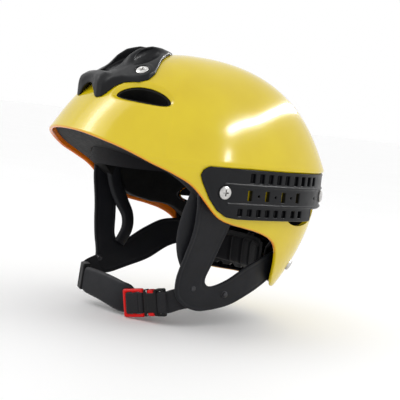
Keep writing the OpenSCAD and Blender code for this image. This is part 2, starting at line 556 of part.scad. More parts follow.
outer_shell();
foam_liner();
crown_pad();
forehead_pad();
left_side_pad();
right_side_pad();
left_rail();
right_rail();
left_rail_screws();
right_rail_screws();
front_bracket();
bracket_screws();
left_rear_rivet();
right_rear_rivet();
left_harness();
right_harness();
left_inner_strap();
right_inner_strap();
left_studs();
right_studs();
nape_straps();
nape_cradle();
nape_pad();
adjuster_knob();
left_rack();
right_rack();
left_webbing();
buckle_female();
buckle_male();
upper_prong();
lower_prong();
male_webbing();
chin_webbing();
chin_cover();
strap_keeper();
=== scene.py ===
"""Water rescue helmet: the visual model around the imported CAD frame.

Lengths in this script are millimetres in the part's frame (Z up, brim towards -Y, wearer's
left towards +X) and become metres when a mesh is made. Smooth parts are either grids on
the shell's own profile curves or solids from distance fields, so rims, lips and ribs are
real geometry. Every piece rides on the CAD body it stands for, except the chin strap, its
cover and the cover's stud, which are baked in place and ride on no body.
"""
import json
import math
from contextlib import contextmanager

import bmesh
import bpy
import numpy as np
from mathutils import Matrix, Vector


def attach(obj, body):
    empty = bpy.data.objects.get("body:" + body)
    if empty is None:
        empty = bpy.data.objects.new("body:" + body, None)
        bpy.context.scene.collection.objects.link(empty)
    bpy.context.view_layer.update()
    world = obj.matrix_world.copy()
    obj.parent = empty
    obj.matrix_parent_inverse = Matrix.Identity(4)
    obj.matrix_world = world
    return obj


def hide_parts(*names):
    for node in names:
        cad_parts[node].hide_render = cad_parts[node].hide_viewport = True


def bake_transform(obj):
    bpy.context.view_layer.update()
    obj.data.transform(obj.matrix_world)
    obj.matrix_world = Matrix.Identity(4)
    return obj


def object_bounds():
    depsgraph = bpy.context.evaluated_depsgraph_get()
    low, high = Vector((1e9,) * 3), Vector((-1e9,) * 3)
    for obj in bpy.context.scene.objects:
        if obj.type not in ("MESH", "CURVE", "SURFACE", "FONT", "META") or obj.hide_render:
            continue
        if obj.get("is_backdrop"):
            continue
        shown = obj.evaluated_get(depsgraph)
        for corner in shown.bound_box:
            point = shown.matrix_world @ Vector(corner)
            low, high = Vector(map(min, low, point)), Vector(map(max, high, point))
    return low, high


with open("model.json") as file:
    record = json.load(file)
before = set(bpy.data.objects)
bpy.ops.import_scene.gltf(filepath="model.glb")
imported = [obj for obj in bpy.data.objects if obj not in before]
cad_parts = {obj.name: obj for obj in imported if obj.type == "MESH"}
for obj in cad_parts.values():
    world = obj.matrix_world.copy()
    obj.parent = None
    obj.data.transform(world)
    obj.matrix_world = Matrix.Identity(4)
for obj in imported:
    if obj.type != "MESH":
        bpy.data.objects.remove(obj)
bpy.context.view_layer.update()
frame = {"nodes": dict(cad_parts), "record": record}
MM = 0.001


# ---- meshes -------------------------------------------------------------------------------
def new_object(name, points, faces, smooth=True):
    """An object from points in millimetres."""
    mesh = bpy.data.meshes.new(name)
    mesh.from_pydata((np.asarray(points, float) * MM).tolist(), [], np.asarray(faces).tolist()
                     if isinstance(faces, np.ndarray) else faces)
    mesh.validate()
    mesh.update()
    obj = bpy.data.objects.new(name, mesh)
    bpy.context.scene.collection.objects.link(obj)
    if smooth:
        mesh.polygons.foreach_set("use_smooth", [True] * len(mesh.polygons))
    return obj


@contextmanager
def editing(obj):
    """An object's mesh as a bmesh, written back when the block ends."""
    bm = bmesh.new()
    bm.from_mesh(obj.data)
    yield bm
    bm.to_mesh(obj.data)
    bm.free()


def outward(obj):
    """Turns every face outwards."""
    with editing(obj) as bm:
        bmesh.ops.recalc_face_normals(bm, faces=bm.faces)


def apply_modifiers(obj):
    """Bakes an object's modifiers into its mesh."""
    graph = bpy.context.evaluated_depsgraph_get()
    mesh = bpy.data.meshes.new_from_object(obj.evaluated_get(graph))
    obj.modifiers.clear()
    obj.data = mesh
    return obj


def cut(obj, *cutters):
    """Subtracts throwaway cutters."""
    for cutter in cutters:
        mod = obj.modifiers.new("cut", "BOOLEAN")
        mod.operation, mod.solver, mod.object = "DIFFERENCE", "EXACT", cutter
        apply_modifiers(obj)
        bpy.data.objects.remove(cutter)
    return obj


def joined(name, *objs):
    """One object from several."""
    bm = bmesh.new()
    for obj in objs:
        mesh = obj.data.copy()
        mesh.transform(obj.matrix_world)
        bm.from_mesh(mesh)
        bpy.data.objects.remove(obj)
    mesh = bpy.data.meshes.new(name)
    bm.to_mesh(mesh)
    bm.free()
    out = bpy.data.objects.new(name, mesh)
    bpy.context.scene.collection.objects.link(out)
    return out


def rounded(obj, width, segments=2, angle=35, smooth_angle=40):
    """Bevels the sharp edges of a hard-surface mesh."""
    mod = obj.modifiers.new("bevel", "BEVEL")
    mod.width, mod.segments, mod.limit_method = width * MM, segments, "ANGLE"
    mod.angle_limit = math.radians(angle)
    apply_modifiers(obj)
    soften(obj, smooth_angle)
    return obj


def soften(obj, angle=40):
    """Smooth shading, with edges sharper than angle kept crisp."""
    obj.data.polygons.foreach_set("use_smooth", [True] * len(obj.data.polygons))
    limit = math.radians(angle)
    with editing(obj) as bm:
        for edge in bm.edges:
            edge.smooth = not (len(edge.link_faces) == 2 and edge.calc_face_angle(0) > limit)
    return obj


def settle(obj, material, slot, body, *nodes):
    """Gives a finished piece its material and puts it on its body in place of its CAD nodes; slot is not used.
    """
    obj.data.materials.clear()
    obj.data.materials.append(material)
    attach(obj, body)
    if nodes:
        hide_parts(*nodes)
    return obj


DISSOLVE = 2.0  # degrees below which the faces of a CAD copy are merged


def refined(node, width):
    """A bevelled copy of a CAD node."""
    obj = frame["nodes"][node].copy()
    obj.data = obj.data.copy()
    obj.parent = None
    obj.name = node + "_fine"
    for key in list(obj.keys()):
        del obj[key]
    bpy.context.scene.collection.objects.link(obj)
    with editing(obj) as bm:
        bmesh.ops.remove_doubles(bm, verts=bm.verts, dist=0.00001)
        bmesh.ops.dissolve_limit(bm, angle_limit=math.radians(DISSOLVE), verts=bm.verts, edges=bm.edges)
    return rounded(obj, width, angle=30)


# ---- solids from distance fields ------------------------------------------------------------
def surface_nets(field, origin, step):
    """A closed quad mesh of the zero surface of a sampled field that is negative inside."""
    inside = field < 0
    n = np.array(field.shape)
    cells = n - 1
    total, count = np.zeros((*cells, 3)), np.zeros(tuple(cells))
    base = np.stack(np.meshgrid(*[np.arange(c) for c in cells], indexing="ij"), -1)
    corners = [(i, j, k) for i in (0, 1) for j in (0, 1) for k in (0, 1)]

    def corner(array, c):
        return array[c[0]:c[0] + cells[0], c[1]:c[1] + cells[1], c[2]:c[2] + cells[2]]

    for c in corners:
        for axis in range(3):
            if c[axis]:
                continue
            d = list(c)
            d[axis] = 1
            f0, f1 = corner(field, c), corner(field, d)
            hit = corner(inside, c) != corner(inside, d)
            share = np.where(hit, f0 / np.where(hit, f0 - f1, 1), 0)
            for k in range(3):
                total[..., k] += np.where(hit, c[k] + (share if k == axis else 0), 0)
            count += hit
    live = count > 0
    index = np.full(tuple(cells), -1)
    index[live] = np.arange(live.sum())
    points = base[live] + total[live] / count[live][:, None]
    quads = []
    for axis in range(3):
        u, v = (axis + 1) % 3, (axis + 2) % 3
        lo = [slice(1, -1)] * 3
        lo[axis] = slice(0, -1)
        hi = list(lo)
        hi[axis] = slice(1, None)
        a, b = inside[tuple(lo)], inside[tuple(hi)]
        at = np.argwhere(a != b)
        flip = b[tuple(at.T)]
        for k in range(3):
            if k != axis:
                at[:, k] += 1
        ids = []
        for du, dv in ((-1, -1), (0, -1), (0, 0), (-1, 0)):
            cell = at.copy()
            cell[:, u] += du
            cell[:, v] += dv
            ids.append(index[tuple(cell.T)])
        quad = np.stack(ids, -1)
        quad[flip] = quad[flip][:, ::-1]
        quads.append(quad)
    return origin + points * step, np.concatenate(quads)


def sample(field, points, origin, step):
    """Trilinear value and gradient of a sampled field."""
    p = (points - origin) / step
    p = np.clip(p, 0, np.array(field.shape) - 1.001)
    i = p.astype(int)
    f = p - i
    value, grad = np.zeros(len(p)), np.zeros((len(p), 3))
    for c in ((x, y, z) for x in (0, 1) for y in (0, 1) for z in (0, 1)):
        v = field[i[:, 0] + c[0], i[:, 1] + c[1], i[:, 2] + c[2]]
        w = [f[:, k] if c[k] else 1 - f[:, k] for k in range(3)]
        value += v * w[0] * w[1] * w[2]
        for k in range(3):
            m, n_ = (k + 1) % 3, (k + 2) % 3
            grad[:, k] += v * (1 if c[k] else -1) * w[m] * w[n_] / step
    return value, grad


def solid(name, distance, low, high, step, warp=None, relax=3):
    """Meshes a distance function over a box, evens the quads, and bends the result with warp."""
    low, high = np.asarray(low, float), np.asarray(high, float)
    counts = np.ceil((high - low) / step).astype(int) + 1
    axes = [low[k] + step * np.arange(counts[k]) for k in range(3)]
    grid = np.meshgrid(*axes, indexing="ij")
    field = distance(*grid)
    points, quads = surface_nets(field, low, step)
    edges = np.concatenate([quads[:, [0, 1]], quads[:, [1, 2]], quads[:, [2, 3]], quads[:, [3, 0]]])
    for _ in range(relax):
        total, count = np.zeros_like(points), np.zeros(len(points))
        for a, b in ((0, 1), (1, 0)):
            np.add.at(total, edges[:, a], points[edges[:, b]])
            np.add.at(count, edges[:, a], 1)
        points = points + 0.5 * (total / count[:, None] - points)
        for _ in range(2):
            value, grad = sample(field, points, low, step)
            size = np.maximum((grad ** 2).sum(1), 0.2)
            points = points - (np.clip(value, -step, step) / size)[:, None] * grad
    if warp:
        points = warp(points)
    return new_object(name, points, quads)


def smin(a, b, r):
    """Union with a fillet of about r."""
    h = np.maximum(r - np.abs(a - b), 0) / r
    return np.minimum(a, b) - h * h * r / 4


def smax(a, b, r):
    """Intersection with a rounded edge of about r."""
    return -smin(-a, -b, r)


def box2(x, y, cx, cy, hx, hy, r=0.0):
    """Distance to a rounded rectangle."""
    dx, dy = np.abs(x - cx) - hx + r, np.abs(y - cy) - hy + r
    return np.hypot(np.maximum(dx, 0), np.maximum(dy, 0)) + np.minimum(np.maximum(dx, dy), 0) - r


def box3(x, y, z, centre, half, r=0.0):
    """Distance to a rounded box."""
    d = [np.abs(v - c) - h + r for v, c, h in zip((x, y, z), centre, half)]
    out = np.sqrt(sum(np.maximum(v, 0) ** 2 for v in d))
    return out + np.minimum(np.maximum(np.maximum(d[0], d[1]), d[2]), 0) - r


def outline(x, y, points):
    """Signed distance to a closed polygon."""
    pts = np.asarray(points, float)
    best, wind = np.full(x.shape, 1e9), np.zeros(x.shape, int)
    for p, q in zip(pts, np.roll(pts, -1, 0)):
        e = q - p
        t = np.clip(((x - p[0]) * e[0] + (y - p[1]) * e[1]) / (e @ e), 0, 1)
        best = np.minimum(best, (x - p[0] - t * e[0]) ** 2 + (y - p[1] - t * e[1]) ** 2)
        side = e[0] * (y - p[1]) - e[1] * (x - p[0])
        wind += ((p[1] <= y) & (q[1] > y) & (side > 0)).astype(int)
        wind -= ((p[1] > y) & (q[1] <= y) & (side < 0)).astype(int)
    return np.where(wind != 0, -1, 1) * np.sqrt(best)


def spline(points, count, closed=False):
    """Catmull-Rom curve through points, evenly spaced along its length."""
    p = np.asarray(points, float)
    n = len(p)
    fine = []
    for i in range(n if closed else n - 1):
        a, b, c, d = (p[(i + k) % n] if closed else p[min(max(i + k, 0), n - 1)] for k in (-1, 0, 1, 2))
        t = np.linspace(0, 1, 24, endpoint=False)[:, None]
        fine.append(0.5 * (2 * b + (c - a) * t + (2 * a - 5 * b + 4 * c - d) * t ** 2
                           + (3 * b - a - 3 * c + d) * t ** 3))
    fine = np.concatenate(fine + ([] if closed else [p[-1:]]))
    if closed:
        fine = np.vstack([fine, fine[:1]])
    run = np.concatenate([[0], np.cumsum(np.linalg.norm(np.diff(fine[:, :3], axis=0), axis=1))])
    at = np.linspace(0, run[-1], count + (1 if closed else 0))
    out = np.stack([np.interp(at, run, fine[:, k]) for k in range(fine.shape[1])], -1)
    return out[:-1] if closed else out


def unit(v):
    v = np.asarray(v, float)
    return v / np.linalg.norm(v, axis=-1, keepdims=True)


def strap_mesh(name, centres, widths, ups, thick, count=90, crown=0.0, edge=0.45, hem=0.0):
    """A flat strap swept along a curve: rounded edges, an optional crown and sewn hem lines."""
    data = np.hstack([centres, np.reshape(widths, (-1, 1)), np.asarray(ups, float)])
    data = spline(data, count)
    c, half, up = data[:, :3], data[:, 3], unit(data[:, 4:7])
    along = unit(np.gradient(c, axis=0))
    up = unit(up - along * (up * along).sum(1, keepdims=True))
    out = np.cross(along, up)
    n = 14
    s = np.linspace(-1, 1, n + 1)
    top = []
    for v in s:
        lift = thick / 2 + crown * (1 - v * v)
        if hem and abs(abs(v) - 0.8) < 0.08:
            lift -= hem
        if abs(v) > 0.999:
            lift = thick / 2 - edge * thick
        top.append((v, lift))
    ring = top + [(v, -h) for v, h in reversed(top)]
    m = len(ring)
    pts = np.zeros((count, m, 3))
    for k, (v, h) in enumerate(ring):
        pts[:, k] = c + up * (half * v)[:, None] + out * h
    faces = []
    for i in range(count - 1):
        for k in range(m):
            a, b = i * m + k, i * m + (k + 1) % m
            faces.append((a, b, b + m, a + m))
    faces.append(tuple(range(m))[::-1])
    faces.append(tuple((count - 1) * m + k for k in range(m)))
    obj = new_object(name, pts.reshape(-1, 3), faces)
    outward(obj)
    return soften(obj, 60)


# ---- the shell's surface, as in the CAD ---------------------------------------------------------
FRONT, REAR, SIDE, POWER = 143.0, 130.9, 106.0, 2.39
CROWN_Y, CROWN_Z, CREASE_Z, BRIM_Z, WALL = -13.6, 117.2, 21.0, 37.4, 4.0


def folded(a):
    a = np.mod(a, 360)
    return np.where(a > 180, 360 - a, a)


def table(a, *pairs):
    xs, ys = zip(*pairs)
    return np.interp(folded(a), xs, ys)


def cosd(a):
    return np.cos(np.radians(a))


def sind(a):
    return np.sin(np.radians(a))


def plan_r(a, o):
    reach = np.where(cosd(a) > 0, FRONT, REAR) - o
    return (np.abs(sind(a) / (SIDE - o)) ** POWER + np.abs(cosd(a) / reach) ** POWER) ** (-1 / POWER)


def crease(a):
    return CREASE_Z + (BRIM_Z - CREASE_Z) * np.maximum(0, (cosd(a) - 0.707) / 0.293)


def mix3(a, front, side, rear):
    w = cosd(a) ** 2
    return np.where(cosd(a) > 0, front, rear) * w + side * (1 - w)


def inset(a, d):
    step = table(a, (0, 0), (45, 0), (60, 1.2), (72, 3.6), (85, 6), (120, 6.6), (180, 6))
    lean = table(a, (0, -0.6), (30, -0.5), (48, -0.15), (60, 0.02), (75, 0.02), (90, 0), (130, -0.09),
                 (150, -0.12), (180, -0.12))
    curl = table(a, (0, 0), (60, 0), (75, 0.0005), (90, 0.0009), (110, 0.002), (130, 0.0028),
                 (150, 0.0033), (180, 0.0033))
    return step * np.minimum(1, d / 3.6) + lean * d + curl * d * d


def dome_point(a, t, o):
    rim = np.stack([plan_r(a, o) * sind(a), -plan_r(a, o) * cosd(a)], -1)
    v = rim - np.array([0, CROWN_Y])
    size = np.linalg.norm(v, axis=-1)
    z, top = crease(a), CROWN_Z - o
    h1 = mix3(a, 0.662, 0.606, 0.728) * size
    ang = np.radians(mix3(a, 57.7, 64.8, 67.3))
    ln = mix3(a, 0.407, 0.400, 0.395) * (top - z)
    u = 1 - t
    r = 3 * u * u * t * h1 + 3 * u * t * t * (size - ln * np.cos(ang)) + t ** 3 * size
    zz = (u ** 3 + 3 * u * u * t) * top + 3 * u * t * t * (z + ln * np.sin(ang)) + t ** 3 * z
    return np.stack([v[..., 0] / size * r, CROWN_Y + v[..., 1] / size * r, zz], -1)


def skirt_point(a, d, o):
    r = plan_r(a, o) - inset(a, d)
    return np.stack([r * sind(a), -r * cosd(a), crease(a) - d], -1)


def shell_point(a, q, o):
    """q runs from the crown to the crease over 0..1, then down the skirt at 100 mm per unit."""
    a, q = np.broadcast_arrays(a, q)
    return np.where((q <= 1)[..., None], dome_point(a, np.minimum(q, 1), o),
                    skirt_point(a, np.maximum(q - 1, 0) * 100, o))


def inner_r(a, o):
    reach = np.where(cosd(a) > 0, 101, 97) - o
    return (np.abs(sind(a) / (80 - o)) ** 2.3 + np.abs(cosd(a) / reach) ** 2.3) ** (-1 / 2.3)


def inner_point(a, q, o):
    """The liner's inner surface, with q as in shell_point."""
    a, q = np.broadcast_arrays(a, q)
    r0, z, top = inner_r(a, o), 8.0, 90.0 - o
    t = np.minimum(q, 1)
    u = 1 - t
    r = 3 * u * u * t * 0.58 * r0 + 3 * u * t * t * r0 * 0.985 + t ** 3 * r0
    dome = np.stack([sind(a) * r, -cosd(a) * r - 4 * u,
                     top * (u ** 3 + 3 * u * u * t) + 3 * u * t * t * (z + (top - z) * 0.55) + t ** 3 * z], -1)
    d = np.maximum(q - 1, 0) * 90
    rd = r0 - 0.0012 * d * d * np.maximum(-cosd(a), 0)
    return np.where((q <= 1)[..., None], dome, np.stack([rd * sind(a), -rd * cosd(a), z - d], -1))


SHELL_RIM = [(-260, 46), (-170, 42), (-150, 42), (-143, 38.6), (-132, 32.6), (-120, 27.2), (-99, 16.8),
             (-84, 11), (-67, 3.4), (-59, -2), (-53, -7.5), (-46, -14.5), (-38, -22), (-32, -26.3),
             (-25, -29.2),
             (-14, -32), (8, -36), (22, -39.5), (31, -43), (39, -48), (45, -55), (49, -65), (53, -78),
             (57, -87),
             (63, -92.5), (70, -95.5), (80, -96), (100, -95), (150, -93)]
LINER_RIM = [(-260, 51), (-170, 48), (-146, 44), (-137, 39.5), (-120, 31), (-99, 20.5), (-84, 14.5),
             (-67, 7),
             (-57, 0), (-48, -8), (-38, -16), (-26, -24), (-14, -28.5), (8, -33), (22, -34),
             (31, -36), (40, -41),
             (47, -48), (56, -51), (150, -51)]


def smooth_line(line, count=260):
    """A rim outline with its corners eased."""
    pts = np.asarray(line, float)
    y = np.linspace(pts[0, 0], pts[-1, 0], count * 4)
    z = np.interp(y, pts[:, 0], pts[:, 1])
    kernel = np.exp(-(np.arange(-12, 13) / 5.0) ** 2)
    return y, np.convolve(np.pad(z, 12, mode="edge"), kernel / kernel.sum(), "valid")


def profiles(a, point, o, rim, ease, step=0.5):
    """Each column's profile down to the rim, evenly sampled, with the crease eased by ease mm."""
    q = np.concatenate([np.linspace(0, 1, 260), np.linspace(1, 2.8, 380)[1:]])
    pts = point(a[:, None], q[None, :], o)
    run = np.concatenate([np.zeros((len(a), 1)),
                          np.cumsum(np.linalg.norm(np.diff(pts, axis=1), axis=2), 1)], 1)
    count = int(run.min(0)[-1] / step)
    at = np.arange(count) * step
    out = np.stack([np.stack([np.interp(at, run[i], pts[i, :, k]) for k in range(3)],
                             -1) for i in range(len(a))])
    at_crease = run[:, 259]
    taps = np.arange(-24, 25)
    kernel = np.exp(-(taps * step / ease) ** 2)
    kernel /= kernel.sum()
    padded = np.pad(out, ((0, 0), (24, 24), (0, 0)), mode="edge")
    blurred = sum(k * padded[:, 24 + t:24 + t + count] for k, t in zip(kernel, taps))
    near = np.exp(-((at[None, :] - at_crease[:, None]) / (4 * ease)) ** 4)[..., None]
    out = out * (1 - near) + blurred * near
    y, z = rim
    below = out[..., 2] - np.interp(out[..., 1], y, z)
    below[:, :int(40 / step)] = 1
    first = np.argmax(below < 0, axis=1)
    f0 = below[np.arange(len(a)), first - 1]
    f1 = below[np.arange(len(a)), first]
    end = (first - 1 + f0 / (f0 - f1)) * step
    return out, at_crease, end, step


def along(profile, at, step):
    """Points of each column at its own arc lengths."""
    p = np.clip(at / step, 0, profile.shape[1] - 1.001)
    i = p.astype(int)
    f = (p - i)[..., None]
    cols = np.arange(profile.shape[0])[:, None]
    return profile[cols, i] * (1 - f) + profile[cols, i + 1] * f


def skin(a, point, o, rim, rows, ease, lip):
    """Rows x columns of one face, stopping lip mm before the rim, and the rim itself."""
    prof, at_crease, end, step = profiles(a, point, o, rim, ease)
    stop = end - lip
    knee = np.minimum(at_crease, stop * 0.985)
    up = np.linspace(0, 1, rows[0] + 1)[1:]
    down = np.linspace(0, 1, rows[1] + 1)[1:] ** 1.25
    at = np.concatenate([knee[:, None] * up, knee[:, None] + (stop - knee)[:, None] * down], 1)
    return along(prof, at, step), along(prof, end[:, None], step)[:, 0], prof[:, 0].mean(0)


LINED_FROM, LINED_FADE = 40, 8  # where the black lining starts, towards the rear, and its soft edge


def bowl(name, a, outer, inner, lip_rows=7):
    """A closed bowl with a rolled edge between an outer and an inner skin."""
    o_rows, o_rim, o_pole = outer
    i_rows, i_rim, i_pole = inner
    n = len(a)
    mid = (o_rows[:, -1] + i_rows[:, -1]) / 2
    drop = (o_rim + i_rim) / 2 - mid
    theta = np.linspace(0, np.pi, lip_rows + 2)[1:-1]
    lip = np.stack([mid + np.cos(t) * (o_rows[:, -1] - i_rows[:, -1]) / 2 + np.sin(t) * drop for t in theta], 1)
    rows = np.concatenate([o_rows, lip, i_rows[:, ::-1]], 1)
    m = rows.shape[1]
    points = np.concatenate([rows.transpose(1, 0, 2).reshape(-1, 3), [o_pole, i_pole]])
    j = np.arange(n)
    k = (j + 1) % n
    quads = np.concatenate([np.stack([r * n + j, r * n + k, (r + 1) * n + k, (r + 1) * n + j], -1)
                            for r in range(m - 1)])
    caps = [(m * n, int(y), int(x)) for x, y in zip(j, k)] + \
           [(m * n + 1, int((m - 1) * n + x), int((m - 1) * n + y)) for x, y in zip(j, k)]
    obj = new_object(name, points, [tuple(f[::-1]) for f in quads.tolist()] + caps)
    outward(obj)
    level = np.zeros(len(points))
    start = o_rows.shape[1]
    level[start * n:(start + lip_rows) * n] = np.repeat((np.arange(lip_rows) + 1) / (lip_rows + 1), n)
    level[(start + lip_rows) * n:m * n] = 1
    level[m * n + 1] = 1
    lined = np.append(np.clip((points[:-2, 1] - LINED_FROM) / LINED_FADE, 0, 1), [0, 0])
    row = np.append(np.repeat(np.arange(m), n), [0, m])
    level = np.where(row >= start + lip_rows - 1, 0.5 + 0.5 * lined, 0.5 * level * (1 - lined))
    obj.data.attributes.new("inside", "FLOAT", "POINT").data.foreach_set("value", level)
    return obj


FRONT_VENT, REAR_VENT_FRONT, REAR_VENT_BACK = (30, 14), (112, 12), (141, 16)  # azimuth, spread


def columns(count, extra=2.0):
    """Azimuths, closer together around the vents."""
    fine = np.linspace(0, 360, 7201)
    weight = 1
    for (centre, spread), gain in ((FRONT_VENT, extra), (REAR_VENT_FRONT, 1.2), (REAR_VENT_BACK, 1.2)):
        weight = weight + gain * np.exp(-((folded(fine) - centre) / spread) ** 4)
    run = np.concatenate([[0], np.cumsum((weight[1:] + weight[:-1]) / 2)])
    return np.interp(np.arange(count) / count * run[-1], run, fine)


VENT_AT = np.array([51.5, -94.5, 74.5])
VENT_U = np.array([0.6836, 0.7268, -0.0664])
VENT_N = np.array([0.4732, -0.5092, 0.7188])
VENT_V = np.cross(VENT_N, VENT_U)
VENT_A, VENT_TOP, VENT_LOW = 24.8, 10.6, 7.8
REAR_AT, REAR_TURN, REAR_A, REAR_B = np.array([79.4, 72.2, -21.5]), 38, 26.0, 9.6
MIRROR = np.array([-1, 1, 1])


def vent_outline(grow=0.0, count=72):
    """The front vent's leaf-shaped hole in its own plane."""
    w = np.linspace(0, 2 * np.pi, count, endpoint=False)
    u = (VENT_A + grow) * np.cos(w)
    v = np.where(np.sin(w) > 0, VENT_TOP + grow, VENT_LOW + grow) * np.sin(w)
    return u, v


def vent_cutter(side, grow=0.0, depth=60):
    u, v = vent_outline(grow)
    base = VENT_AT + u[:, None] * VENT_U + v[:, None] * VENT_V
    pts = np.concatenate([base - VENT_N * depth / 2, base + VENT_N * depth / 2])
    return prism("cutter", pts if side > 0 else pts * MIRROR, side > 0)


def rear_cutter(side, grow=0.0, depth=46):
    w = np.linspace(0, 2 * np.pi, 56, endpoint=False)
    c, s = cosd(REAR_TURN), sind(REAR_TURN)
    out, run = np.array([c, s, 0]), np.array([-s, c, 0])
    tilt = math.radians(4)
    x, z = (REAR_A + grow) * np.cos(w), (REAR_B + grow) * np.sin(w)
    base = REAR_AT + (x * math.cos(tilt) - z * math.sin(tilt))[:, None] * run \
        + (x * math.sin(tilt) + z * math.cos(tilt))[:, None] * np.array([0, 0, 1.0])
    pts = np.concatenate([base - out * depth / 2, base + out * depth / 2])
    return prism("cutter", pts if side > 0 else pts * MIRROR, side > 0)


def prism(name, pts, forward=True):
    """A closed prism from two equal loops."""
    n = len(pts) // 2
    faces = [tuple(range(n))[::-1], tuple(range(n, 2 * n))]
    faces += [(i, (i + 1) % n, n + (i + 1) % n, n + i) for i in range(n)]
    obj = new_object(name, pts, faces if forward else [f[::-1] for f in faces], smooth=False)
    outward(obj)
    return obj


def recess(points, depth, reach):
    """Rolls the surface inwards round the front vents."""
    out = points.copy()
    for side in (1, -1):
        p = points if side > 0 else points * MIRROR
        rel = p - VENT_AT
        u, v, w = rel @ VENT_U, rel @ VENT_V, rel @ VENT_N
        b = np.where(v > 0, VENT_TOP, VENT_LOW)
        rho = np.sqrt((u / VENT_A) ** 2 + (v / b) ** 2) + 1e-9
        slope = np.sqrt((u / VENT_A ** 2) ** 2 + (v / b ** 2) ** 2) / rho
        gap = (rho - 1) / slope
        x = np.clip(1 - gap / reach, 0, 1.4)
        push = depth * np.where(x < 1, x * x * (3 - 2 * x), 1 + (x - 1) * 0.5)
        push[(np.abs(w) > 30) | (rho > 2.2)] = 0
        n = VENT_N if side > 0 else VENT_N * MIRROR
        out -= push[..., None] * n
    return out


def build_shell():
    a = columns(480)
    rim = smooth_line(SHELL_RIM)
    outer = list(skin(a, shell_point, 0.0, rim, (84, 40), 1.7, 1.9))
    inner = skin(a, shell_point, WALL, rim, (34, 18), 1.7, 1.9)
    outer[0] = recess(outer[0], 3.0, 3.4)
    shell = bowl("shell", a, outer, inner)
    cut(shell, vent_cutter(1), vent_cutter(-1), rear_cutter(1), rear_cutter(-1))
    return soften(shell, 50)


def build_liner():
    a = columns(300, extra=0.6)
    rim = smooth_line(LINER_RIM)
    outer = skin(a, shell_point, WALL + 0.45, rim, (40, 20), 1.7, 2.0)
    inner = skin(a, inner_point, 0.0, rim, (48, 26), 2.0, 2.0)
    liner = bowl("liner", a, outer, inner, 9)
    cut(liner, vent_cutter(1, -2.4, 80), vent_cutter(-1, -2.4, 80), rear_cutter(1, 1.4, 60),
        rear_cutter(-1, 1.4, 60))
    return soften(liner, 50)


# ---- materials ------------------------------------------------------------------------------
def material(name, **sockets):
    """A Principled material with its constants set on the shader's own sockets."""
    mat = bpy.data.materials.new(name)
    mat.use_nodes = True
    tree = mat.node_tree
    shader = tree.nodes["Principled BSDF"]
    names = {s.name.lower(): s for s in shader.inputs}
    for key, value in sockets.items():
        names[key.replace("_", " ").lower()].default_value = (*value, 1) if isinstance(value,
                                                                                       tuple) else value
    return mat, tree, shader


def node(tree, kind, **values):
    """A shader node with its properties and input values set."""
    out = tree.nodes.new(kind)
    for key, value in values.items():
        if key in out.inputs:
            out.inputs[key].default_value = value
        else:
            setattr(out, key, value)
    return out


def link(tree, a, b):
    tree.links.new(a, b)


def coords(tree):
    return node(tree, "ShaderNodeTexCoord").outputs["Object"]


def noise(tree, vector, scale, detail=4, rough=0.55):
    out = node(tree, "ShaderNodeTexNoise", Scale=scale, Detail=detail, Roughness=rough)
    link(tree, vector, out.inputs["Vector"])
    return out.outputs["Fac"]


def ramp(tree, fac, *stops):
    """Colours or greys along a factor."""
    out = node(tree, "ShaderNodeValToRGB")
    elements = out.color_ramp.elements
    while len(elements) < len(stops):
        elements.new(0.5)
    for element, (at, colour) in zip(elements, stops):
        element.position = at
        element.color = (*colour, 1) if isinstance(colour, tuple) else (colour, colour, colour, 1)
    link(tree, fac, out.inputs["Fac"])
    return out.outputs["Color"]


def bump(tree, shader, height, strength, distance=0.0003):
    out = node(tree, "ShaderNodeBump", Strength=strength, Distance=distance)
    link(tree, height, out.inputs["Height"])
    link(tree, out.outputs["Normal"], shader.inputs["Normal"])


def mixed(tree, fac, a, b):
    out = node(tree, "ShaderNodeMix", data_type="RGBA")
    for socket, value in ((out.inputs[6], a), (out.inputs[7], b)):
        if isinstance(value, tuple):
            socket.default_value = (*value, 1)
        else:
            link(tree, value, socket)
    if isinstance(fac, float):
        out.inputs[0].default_value = fac
    else:
        link(tree, fac, out.inputs[0])
    return out.outputs[2]


def shell_material():
    """Glossy moulded plastic: yellow outside, warm orange on the rim and the inner face."""
    mat, tree, shader = material("shell_gloss", Roughness=0.2, IOR=1.5, coat_weight=0.14,
                                 coat_roughness=0.05)
    level = node(tree, "ShaderNodeAttribute", attribute_name="inside").outputs["Fac"]
    cloud = noise(tree, coords(tree), 22.0, 3)
    yellow = ramp(tree, cloud, (0.3, (0.655, 0.485, 0.0025)), (0.7, (0.71, 0.545, 0.004)))
    edge = ramp(tree, level, (0.0, 0.0), (0.05, 0.25), (0.28, 1.0), (1.0, 1.0))
    lining = ramp(tree, level, (0.6, 0.0), (0.75, 1.0))
    inner = mixed(tree, lining, (0.78, 0.165, 0.003), (0.007, 0.007, 0.008))
    link(tree, mixed(tree, edge, yellow, inner), shader.inputs["Base Color"])
    grain = noise(tree, coords(tree), 900.0, 3)
    link(tree, ramp(tree, grain, (0.3, 0.12), (0.8, 0.19)), shader.inputs["Roughness"])
    bump(tree, shader, noise(tree, coords(tree), 60.0, 2), 0.03, 0.0008)
    return mat


def foam_material():
    """Closed-cell foam, fine pitted skin."""
    mat, tree, shader = material("eva_foam", Roughness=0.7, specular_ior_level=0.15)
    where = coords(tree)
    link(tree, ramp(tree, noise(tree, where, 60.0), (0.3, 0.005), (0.8, 0.009)),
         shader.inputs["Base Color"])
    cells = node(tree, "ShaderNodeTexVoronoi", Scale=900.0)
    link(tree, where, cells.inputs["Vector"])
    link(tree, ramp(tree, noise(tree, where, 300.0), (0.2, 0.55), (0.8, 0.8)),
         shader.inputs["Roughness"])
    bump(tree, shader, cells.outputs["Distance"], 0.25, 0.0003)
    return mat


